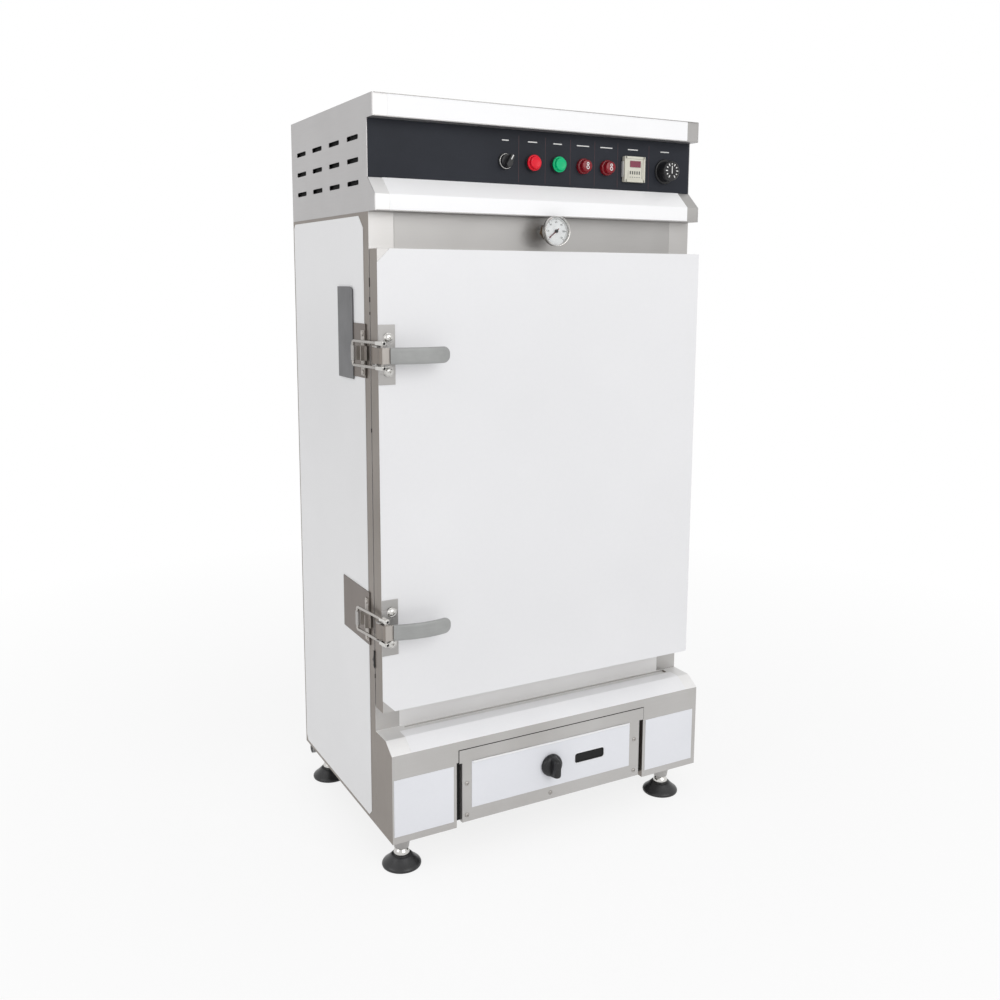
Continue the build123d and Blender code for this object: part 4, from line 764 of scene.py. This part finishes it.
def bezels():
    """Black rings of the selector and the buttons, and the selector's bright inner ring."""
    rings = bmesh.new()
    profile = [(14.6, 0), (14.9, 0.4), (14.9, 2.0), (14.2, 2.6), (12.9, 2.6), (12.9, 0)]
    for x in (SELECTOR_X, RED_X, GREEN_X):
        turned(rings, profile, (x, PANEL_Y, DEVICE_Z), FRONT, 64, closed=True)
    piece("bezel_rings", rings, "black", "cabinet")
    chrome = bmesh.new()
    profile = [(13.5, 2.5), (14.1, 3.4), (13.7, 4.6), (12.9, 5.0), (12.7, 4.0), (12.7, 2.5)]
    turned(chrome, profile, (SELECTOR_X, PANEL_Y, DEVICE_Z), FRONT, 64, closed=True)
    piece("selector_ring", chrome, "steel_polished", "cabinet")


def panel_marks():
    """Plain rules over the devices, as wide as their labels, and thin lines between them."""
    rule_rise, rule_height, line_height = 38, 1.9, 84
    rule_widths = ((SELECTOR_X, 14), (RED_X, 20), (GREEN_X, 19), (LAMP_XS[0], 28), (LAMP_XS[1], 28),
                   (TIMER_X, 24), (THERMOSTAT_X, 21))
    rules = bmesh.new()
    for x, width in rule_widths:
        slab(rules, rectangle(width, rule_height), (x, PANEL_Y, DEVICE_Z + rule_rise), FRONT, 0, 0.08)
    piece("label_rules", rules, "mark", "cabinet")
    lines = bmesh.new()
    for x in (-49.5, 8.0, 63.5, 119.0, 173.0, 248.0):
        slab(lines, rectangle(0.7, line_height), (x, PANEL_Y, DEVICE_Z + 6), FRONT, 0, 0.05)
    piece("panel_lines", lines, "panel_line", "cabinet")


def timer():
    """Square panel timer: cream bezel with a window, thumbwheels and a row of small marks."""
    centre = (TIMER_X, PANEL_Y, DEVICE_Z)
    half, rim, inner, frame_depth, face, back = 24.5, 4.4, 20.4, 9.0, 7.6, -60
    sill, head, left, right = 0.16 * half, 0.65 * half, -0.47 * half, 0.55 * half
    rim_place = half - 2.3
    rims = ((rim, 2 * half, -rim_place, 0), (rim, 2 * half, rim_place, 0), (44, rim, 0, rim_place),
            (44, rim, 0, -rim_place))
    bm = bmesh.new()
    slab(bm, rounded_rectangle(2 * half, 2 * half, 1.8), centre, FRONT, 0, 6.0, 0.5)
    slab(bm, rectangle(44.5, 44.5), centre, FRONT, back, 0.5)
    for rim_outline in rims:
        slab(bm, rectangle(*rim_outline), centre, FRONT, 5, frame_depth, 0.7)
    for low_u, high_u, low_v, high_v in ((-inner, inner, -inner, sill), (-inner, inner, head, inner),
                                         (-inner, left, sill, head), (right, inner, sill, head)):
        outline = rectangle(high_u - low_u, high_v - low_v, (low_u + high_u) / 2, (low_v + high_v) / 2)
        slab(bm, outline, centre, FRONT, 5, face)
    piece("timer_case", bm, "cream", "cabinet", replaces=["timer_body"])
    wheels, pitch, first = 5, 5.4, -10.5
    ink = bmesh.new()
    for k in range(wheels):
        u = first + pitch * k
        slab(ink, rounded_rectangle(2.6, 6.4, 0.6, u, -6.6), centre, FRONT, face - 0.2, face + 0.12)
        slab(ink, rectangle(3.0, 1.0, u, -15.2), centre, FRONT, face - 0.2, face + 0.06)
    for u, low, high in ((-15.8, -17.5, -2.0), (16.6, -17.5, 13.0)):
        slab(ink, rectangle(0.5, high - low, u, (low + high) / 2), centre, FRONT, face - 0.2, face + 0.05)
    piece("timer_wheels", ink, "ink", "cabinet")
    clips = bmesh.new()
    for side in (-1, 1):
        slab(clips, rounded_rectangle(2.2, 30, 0.6, side * 25.4, 0), centre, FRONT, 0, 4.5, 0.3)
    piece("timer_clips", clips, "wiring", "cabinet")


def thermostat():
    """Round thermostat knob with a scale of plain ticks and a pointer on its face."""
    centre = (THERMOSTAT_X, PANEL_Y, DEVICE_Z)
    rear, top = 4.3, 26.0
    bm = bmesh.new()
    profile = [(0, SPINDLE_END), (SPINDLE_RADIUS, SPINDLE_END), (SPINDLE_RADIUS, rear), (19.4, rear),
               (20.0, rear + 0.6), (19.4, top - 3.0), (18.6, top - 1.0), (17.2, top), (16.2, top),
               (15.9, top - 0.5), (0, top - 0.5)]
    turned(bm, profile, centre, FRONT, 96)
    slab(bm, rounded_rectangle(6.0, 24, 2.4), centre, FRONT, top - 1, top, 0.4)
    piece("thermostat_cap", bm, "black", "thermostat", replaces=["thermostat_knob"])
    tick_count, first_angle, tick_angle, long_tick, short_tick = 11, -150, 30, 5.0, 3.6
    ticks = bmesh.new()
    for k in range(tick_count):
        length = long_tick if k % 2 == 0 else short_tick
        outline = turned_outline(rectangle(2.0, length, 0, 12.8), -first_angle - tick_angle * k)
        slab(ticks, outline, centre, FRONT, top - 0.6, top - 0.3)
    slab(ticks, rounded_rectangle(2.0, 15, 0.9, 0, 2), centre, FRONT, top - 0.2, top + 0.1)
    piece("thermostat_scale", ticks, "mark", "thermostat")


def dial_number(text, place, size, axes, body):
    """Plain number on a dial, as a mesh a little proud of the face."""
    curve = bpy.data.curves.new("number_" + text, "FONT")
    curve.body = text
    curve.size = size
    curve.align_x = "CENTER"
    curve.align_y = "CENTER"
    curve.extrude = 0.05
    holder = bpy.data.objects.new("number_" + text, curve)
    bpy.context.scene.collection.objects.link(holder)
    bpy.context.view_layer.update()
    mesh = bpy.data.meshes.new_from_object(holder.evaluated_get(bpy.context.evaluated_depsgraph_get()))
    bpy.data.objects.remove(holder)
    across, up, out = axes
    bm = bmesh.new()
    bm.from_mesh(mesh)
    bpy.data.meshes.remove(mesh)
    for vert in bm.verts:
        u, v, w = vert.co
        vert.co = Vector(place) + across * u + up * v + out * w
    piece("dial_number_" + text, bm, "ink", body)


def thermometer_body():
    """Chrome case and stem with a six-sided boss, and the bronze collar and nut behind the case."""
    centre = THERMOMETER_PLACE
    bm = bmesh.new()
    profile = [(0, 0), (21.0, 0), (25.8, 0.5), (27.2, 2.0), (27.5, 4.0), (27.5, 9.4), (27.1, 10.0),
               (27.5, 10.6), (27.4, 12.8), (26.7, 13.9), (25.9, 13.7), (DIAL_RADIUS, 12.6),
               (DIAL_RADIUS, 5.0), (0, 5.0)]
    turned(bm, profile, centre, FRONT, 96)
    neck = [(0, 0.5), (8.0, 0.5), (8.0, -32), (0, -32)]
    boss = [(0, -31), (12.0, -31), (12.0, -37), (11.0, -38), (0, -38)]
    probe = [(0, -37), (4.0, -37), (4.0, -128), (0, -128)]
    for part, sides in ((neck, 40), (boss, 6), (probe, 24)):
        turned(bm, part, centre, FRONT, sides)
    piece("thermometer_body", bm, "steel_polished", "cabinet", replaces=["thermometer_case"])
    collar = bmesh.new()
    profile = [(8.05, -3), (11.6, -3), (13.0, -4), (13.2, -8), (12.0, -9), (13.8, -10), (14.4, -12),
               (14.4, -18), (13.4, -20), (8.05, -20)]
    turned(collar, profile, centre, FRONT, 44, closed=True)
    slab(collar, turned_outline(arc((0, 0), 15.0, 0, 300, 5), 12), centre, FRONT, -29, -20, 0.6)
    piece("thermometer_collar", collar, "bronze", "cabinet")


def thermometer_dial():
    """White dial with its pin, the needle's hub, the scale's ticks and plain numbers."""
    centre = Vector(THERMOMETER_PLACE)
    across, up, out = FRONT
    face, low_angle, sweep, tick_count = 6.2, 135, 270, 61
    plate = bmesh.new()
    turned(plate, [(0, 5.0), (DIAL_RADIUS, 5.0), (DIAL_RADIUS, face), (0, face)], centre, FRONT, 72)
    turned(plate, [(0, face), (0.9, face), (0.9, 8.6), (0, 8.6)], centre, FRONT, 16)
    piece("dial_plate", plate, "dial", "cabinet", replaces=["thermometer_dial"])
    hub = bmesh.new()
    turned(hub, [(0, 8.9), (3.2, 8.9), (3.2, 9.6), (2.4, 10.1), (0, 10.2)], centre, FRONT, 32)
    piece("needle_hub", hub, "ink", "needle")
    ticks = bmesh.new()
    for k in range(tick_count):
        angle = low_angle - sweep / (tick_count - 1) * k
        width, length = (0.75, 3.6) if k % 10 == 0 else (0.4, 1.7)
        outline = turned_outline(rectangle(width, length, 0, 23.4 - length / 2), angle)
        slab(ticks, outline, centre, FRONT, face, face + 0.07)
    piece("dial_ticks", ticks, "ink", "cabinet")
    numbers, number_step, number_radius, number_size = 7, 20, 16.6, 4.6
    for k in range(numbers):
        angle = radians(low_angle - sweep / (numbers - 1) * k)
        aside = across * (-sin(angle) * number_radius) + up * (cos(angle) * number_radius)
        place = centre + aside + out * (face + 0.05)
        dial_number(str(number_step * k), place, number_size, FRONT, "cabinet")


def burner_knob():
    """Round black knob with a tapered grip across its face."""
    centre = Vector(BURNER_KNOB_PLACE)
    bm = bmesh.new()
    profile = [(0, -12), (SPINDLE_RADIUS, -12), (SPINDLE_RADIUS, 0), (21.6, 0), (22.4, 0.8), (22.5, 4.0),
               (21.4, 8.0), (18.6, 11.0), (14.0, 12.4), (0, 12.8)]
    turned(bm, profile, centre, FRONT, 72)
    across, up, out = FRONT
    layers = ((6.0, 8.2, 21.3), (12.0, 7.4, 20.6), (22.0, 6.6, 19.0), (27.6, 6.1, 17.4),
              (29.6, 5.0, 15.4), (30.0, 3.6, 13.4))
    rings = []
    for height, half_width, reach in layers:
        outline = rounded_rectangle(2 * half_width, 2 * reach, min(half_width, 4.5) - 0.2)
        rings.append([bm.verts.new(centre + across * u + up * v + out * height) for u, v in outline])
    skin(bm, rings)
    piece("gas_knob_moulded", bm, "black", "gas_knob", replaces=["burner_knob"])


def panel_screws():
    """Cross-headed screws of the burner panel: four at its corners and one low in the middle."""
    low, left, right = 21.5, -198.0, 188.8
    bm = bmesh.new()
    for x, z in ((left, 85.5), (left, low), (right, 89.6), (right, low)):
        screw_head(bm, (x, ACCESS_Y, z), FRONT, 4.5, 2.4)
    piece("panel_screw_heads", bm, "steel_wire", "cabinet", replaces=["burner_panel_screws"])
    bm = bmesh.new()
    screw_head(bm, (BURNER_KNOB_PLACE[0], ACCESS_Y, low), FRONT, 4.4, 2.2)
    piece("panel_screw_low", bm, "steel_wire", "cabinet")


def rolled_film_edge():
    """Film rolled up along the top of the burner panel, a little uneven."""
    left, right, radius, stations, z = -186.0, 174.5, 1.7, 24, 126.6
    points = []
    for k in range(stations + 1):
        t = k / stations
        wander = 0.35 * sin(9 * t) + 0.25 * sin(23 * t)
        points.append((left + (right - left) * t, ACCESS_Y - radius + 0.2 * sin(17 * t), z + wander))
    bm = bmesh.new()
    rod(bm, points, radius, 12)
    piece("rolled_film_edge", bm, "white_film", "cabinet")


def window_rim():
    """Thin white rim round the lighting window."""
    rim = rounded_rectangle(71.4, 22.4, 5.6, *WINDOW_PLACE, 8)
    places = [Vector((u, ACCESS_Y - 0.7, v)) for u, v in rim]
    bm = bmesh.new()
    rod(bm, places + places[:1], 0.75, 10)
    piece("window_rim", bm, "white_film", "cabinet")


def edge_lines():
    """Bare steel lines along the folds of the fascia and the hood, where the film ends."""
    bm = bmesh.new()
    for low, high, y in ((1338.7, 1339.9, -25.4), (1301.2, 1302.4, -25.4), (1144.3, 1145.6, -32.0)):
        line = rectangle(2 * HALF_WIDTH - 6, high - low, 0, (low + high) / 2)
        slab(bm, line, (0, y, 0), FRONT, -0.4, 0.1)
    piece("edge_lines", bm, "steel_plate", "cabinet")


def hinge_screws():
    """Three screws in each hinge leaf on the cabinet's right side."""
    bm = bmesh.new()
    for z in (340.0, 960.0):
        for rise in (-34, 0, 34):
            screw_head(bm, (HALF_WIDTH + 2, 13.0, z + rise), RIGHT, *SMALL_SCREW, segments=32)
    piece("hinge_screws", bm, "steel_polished", "cabinet")


def back_screws():
    """Screws round the back panel."""
    inset, low, high, rise, step = 12, 60, 1082, 146, 135.2
    bm = bmesh.new()
    places = [(side * (HALF_WIDTH - inset), low + rise * k) for side in (-1, 1) for k in range(8)]
    places += [(-HALF_WIDTH + inset + step * k, z) for k in range(1, 5) for z in (low, high)]
    for x, z in places:
        screw_head(bm, (x, BODY_DEPTH, z), BACK, *SMALL_SCREW, segments=32)
    piece("back_screws", bm, "steel_polished", "cabinet")


def painted_shade_in_gaps():
    """Painted shade: black sheets behind the window, the slots and the gaps beside the burner panel,
    and black painted shadow lines along the top and ends of the strip.
    """
    bm = bmesh.new()
    slab(bm, rectangle(74, 25, *WINDOW_PLACE), (0, -76.4, 0), FRONT, 0, 0.6)
    for low, high in ((-219.0, -208.0), (201.0, 211.5)):
        slab(bm, rectangle(high - low, 121, (low + high) / 2, 69.0), (0, -66.0, 0), FRONT, 0, 0.6)
    piece("painted_shade_behind_panel", bm, "dark_inside", "cabinet")
    bm = bmesh.new()
    for side in (-1, 1):
        slab(bm, rectangle(350, 112, 215.0, 1236.0), (side * (HALF_WIDTH - 7), 0, 0), RIGHT, -0.3, 0.3)
    piece("painted_shade_behind_slots", bm, "dark_inside", "cabinet")
    # Black lines along the top and the ends of the strip over the burner panel: painted shadow
    low, high, left, right, shadow_line_y, shadow_line_width = 128.0, 153.5, -214.0, 211.0, -77.4, 1.2
    bm = bmesh.new()
    top = rectangle(right - left + 2 * shadow_line_width, 1.3, (left + right) / 2, high + 0.6)
    slab(bm, top, (0, shadow_line_y, 0), FRONT, -0.2, 0.35)
    for x in (left - shadow_line_width / 2, right + shadow_line_width / 2):
        slab(bm, rectangle(shadow_line_width, high - low, x, (low + high) / 2), (0, shadow_line_y, 0), FRONT, -0.2, 0.35)
    piece("strip_painted_shadow_lines", bm, "dark_inside", "cabinet")


def torn_gasket():
    """Bits of the door's gasket that stick out of the slit on the latch side."""
    bm = bmesh.new()
    outline = [(-3.4, 316.0), (1.6, 320.0), (0.2, 327.0), (5.2, 330.5), (2.0, 335.0), (-0.6, 341.0),
               (-1.0, 350.0), (-3.2, 346.0), (-2.4, 336.0), (-3.4, 325.0)]
    slab(bm, outline, (-HALF_WIDTH - 1.4, 0, 0), RIGHT, -0.8, 0.8)
    slab(bm, rectangle(2.4, 30, -2.0, 333.0), (-HALF_WIDTH, 0, 0), RIGHT, -0.9, 1.5)
    for z, length in ((1022.0, 16.0), (992.0, 9.0), (968.0, 5.0), (760.0, 7.0), (300.0, 8.0)):
        slab(bm, rectangle(1.6, length, -1.8, z), (-HALF_WIDTH - 0.2, 0, 0), RIGHT, -0.5, 1.0)
    piece("torn_gasket", bm, "rubber", "door")


def foot_pieces():
    """Levelling feet: glossy conical pads, ball collars and screw stems."""
    pad_profile = [(0, -60), (34.5, -60), (36.4, -59.3), (37.0, -57.8), (36.9, -55.8), (35.6, -53.6),
                   (32.5, -51.2), (28.5, -47.8), (24.6, -44.2), (21.4, -40.9), (19.2, -38.6),
                   (17.0, -38.0), (0, -38.0)]
    stem_profile = [(0, -39), (13.2, -39), (14.6, -37.2), (15.0, -34.5), (14.4, -31.4), (12.6, -28.4),
                    (10.8, -26.2), (9.8, -24.6), (8.0, -24.4), (8.0, 44), (7.0, 45), (0, 45)]
    for name, (x, y) in FEET.items():
        pad = bmesh.new()
        turned(pad, pad_profile, (x, y, 0), UPWARD, 80)
        piece(name + "_pad", pad, "foot", name + "_body", replaces=[name])
        stem = bmesh.new()
        turned(stem, stem_profile, (x, y, 0), UPWARD, 64)
        piece(name + "_stem", stem, "steel_polished", name + "_body")


def camera():
    """Camera at the photograph's angle, with its picture shifted to the fitted centre row."""
    yaw, pitch, roll = radians(CAMERA_YAW), radians(CAMERA_PITCH), radians(CAMERA_ROLL)
    forward = Vector((sin(yaw) * cos(pitch), cos(yaw) * cos(pitch), sin(pitch)))
    right = Vector((cos(yaw), -sin(yaw), 0))
    up = right.cross(forward)
    across = right * cos(roll) + up * sin(roll)
    upward = up * cos(roll) - right * sin(roll)
    data = bpy.data.cameras.new("camera")
    data.lens = FOCAL_PIXELS * SENSOR_WIDTH / PICTURE_WIDTH
    data.sensor_width = SENSOR_WIDTH
    data.shift_y = (CENTRE_ROW - PICTURE_WIDTH / 2) / PICTURE_WIDTH
    made = bpy.data.objects.new("camera", data)
    bpy.context.scene.collection.objects.link(made)
    matrix = Matrix((across, upward, -forward)).transposed().to_4x4()
    matrix.translation = row(CAMERA_PLACE)
    made.matrix_world = matrix
    bpy.context.scene.camera = made


def seen_directly(tree):
    """1 for rays from the camera, and for what metal and glass reflect or pass."""
    path = node(tree, "ShaderNodeLightPath")
    total = path.outputs["Is Camera Ray"]
    for name in ("Is Glossy Ray", "Is Transmission Ray"):
        joined = node(tree, "ShaderNodeMath", operation="MAXIMUM")
        tree.links.new(total, joined.inputs[0])
        tree.links.new(path.outputs[name], joined.inputs[1])
        total = joined.outputs["Value"]
    return total


def surroundings():
    """White seen directly and in reflections, and a plain level of light on the object."""
    world = bpy.data.worlds.new("surroundings")
    world.use_nodes = True
    bpy.context.scene.world = world
    tree = world.node_tree
    background = tree.nodes["Background"]
    strength = spread(tree, seen_directly(tree), 0.69, 1.0, 0.0, 1.0)
    tree.links.new(strength, background.inputs["Strength"])
    background.inputs["Color"].default_value = (1, 1, 1, 1)


def floor_material():
    """Pale floor that keeps the object's shadow near it and turns white further out."""
    made = bpy.data.materials.new("floor")
    made.use_nodes = True
    tree = made.node_tree
    link = tree.links.new
    shader = tree.nodes["Principled BSDF"]
    coords = node(tree, "ShaderNodeTexCoord").outputs["Object"]
    tone = node(tree, "ShaderNodeMix", data_type="RGBA")
    tone.inputs["A"].default_value = (0.86, 0.86, 0.86, 1)
    tone.inputs["B"].default_value = (0.89, 0.89, 0.89, 1)
    link(noise(tree, coords, 2.0), tone.inputs["Factor"])
    link(tone.outputs["Result"], shader.inputs["Base Color"])
    shader.inputs["Roughness"].default_value = 0.9
    glow = node(tree, "ShaderNodeEmission", Strength=1.0)
    mixed = node(tree, "ShaderNodeMixShader")
    distance = node(tree, "ShaderNodeVectorMath", operation="LENGTH")
    link(coords, distance.inputs[0])
    glow_near, glow_far, near, far = 0.82, 1.0, 0.7, 2.2
    glow_share = spread(tree, distance.outputs["Value"], glow_near, glow_far, near, far)
    share = node(tree, "ShaderNodeMath", operation="MULTIPLY")
    link(seen_directly(tree), share.inputs[0])
    link(glow_share, share.inputs[1])
    link(share.outputs["Value"], mixed.inputs["Fac"])
    link(shader.outputs["BSDF"], mixed.inputs[1])
    link(glow.outputs["Emission"], mixed.inputs[2])
    link(mixed.outputs["Shader"], tree.nodes["Material Output"].inputs["Surface"])
    return made


def floor():
    """Wide flat floor under the feet."""
    reach, steps = 12.0, 8
    bm = bmesh.new()
    bmesh.ops.create_grid(bm, x_segments=steps, y_segments=steps, size=reach)
    mesh = bpy.data.meshes.new("floor")
    bm.to_mesh(mesh)
    bm.free()
    mesh.materials.append(floor_material())
    made = bpy.data.objects.new("floor", mesh)
    bpy.context.scene.collection.objects.link(made)


def lamps():
    """Two soft lamps: a large one in front and a weaker one at the left."""
    aim = Vector((0, 0, 0.8))
    settings = (("key", (0.5, -3.4, 2.3), 2.4, 40.0), ("left", (-3.2, -0.4, 2.0), 1.8, 15.0))
    for name, place, size, power in settings:
        data = bpy.data.lights.new(name, "AREA")
        data.size = size
        data.energy = power
        lamp = bpy.data.objects.new(name, data)
        bpy.context.scene.collection.objects.link(lamp)
        lamp.location = place
        lamp.rotation_euler = (aim - Vector(place)).to_track_quat("-Z", "Y").to_euler()


def studio():
    """Pale floor, white surroundings and soft lamps."""
    bpy.context.scene.view_settings.view_transform = "Standard"
    surroundings()
    floor()
    lamps()


camera()
studio()
sheet_metal()
white_sheets()
latches()
button_caps()
pilot_lamps()
selector()
bezels()
timer()
thermostat()
panel_marks()
thermometer_body()
thermometer_dial()
burner_knob()
panel_screws()
rolled_film_edge()
window_rim()
edge_lines()
hinge_screws()
back_screws()
painted_shade_in_gaps()
torn_gasket()
foot_pieces()
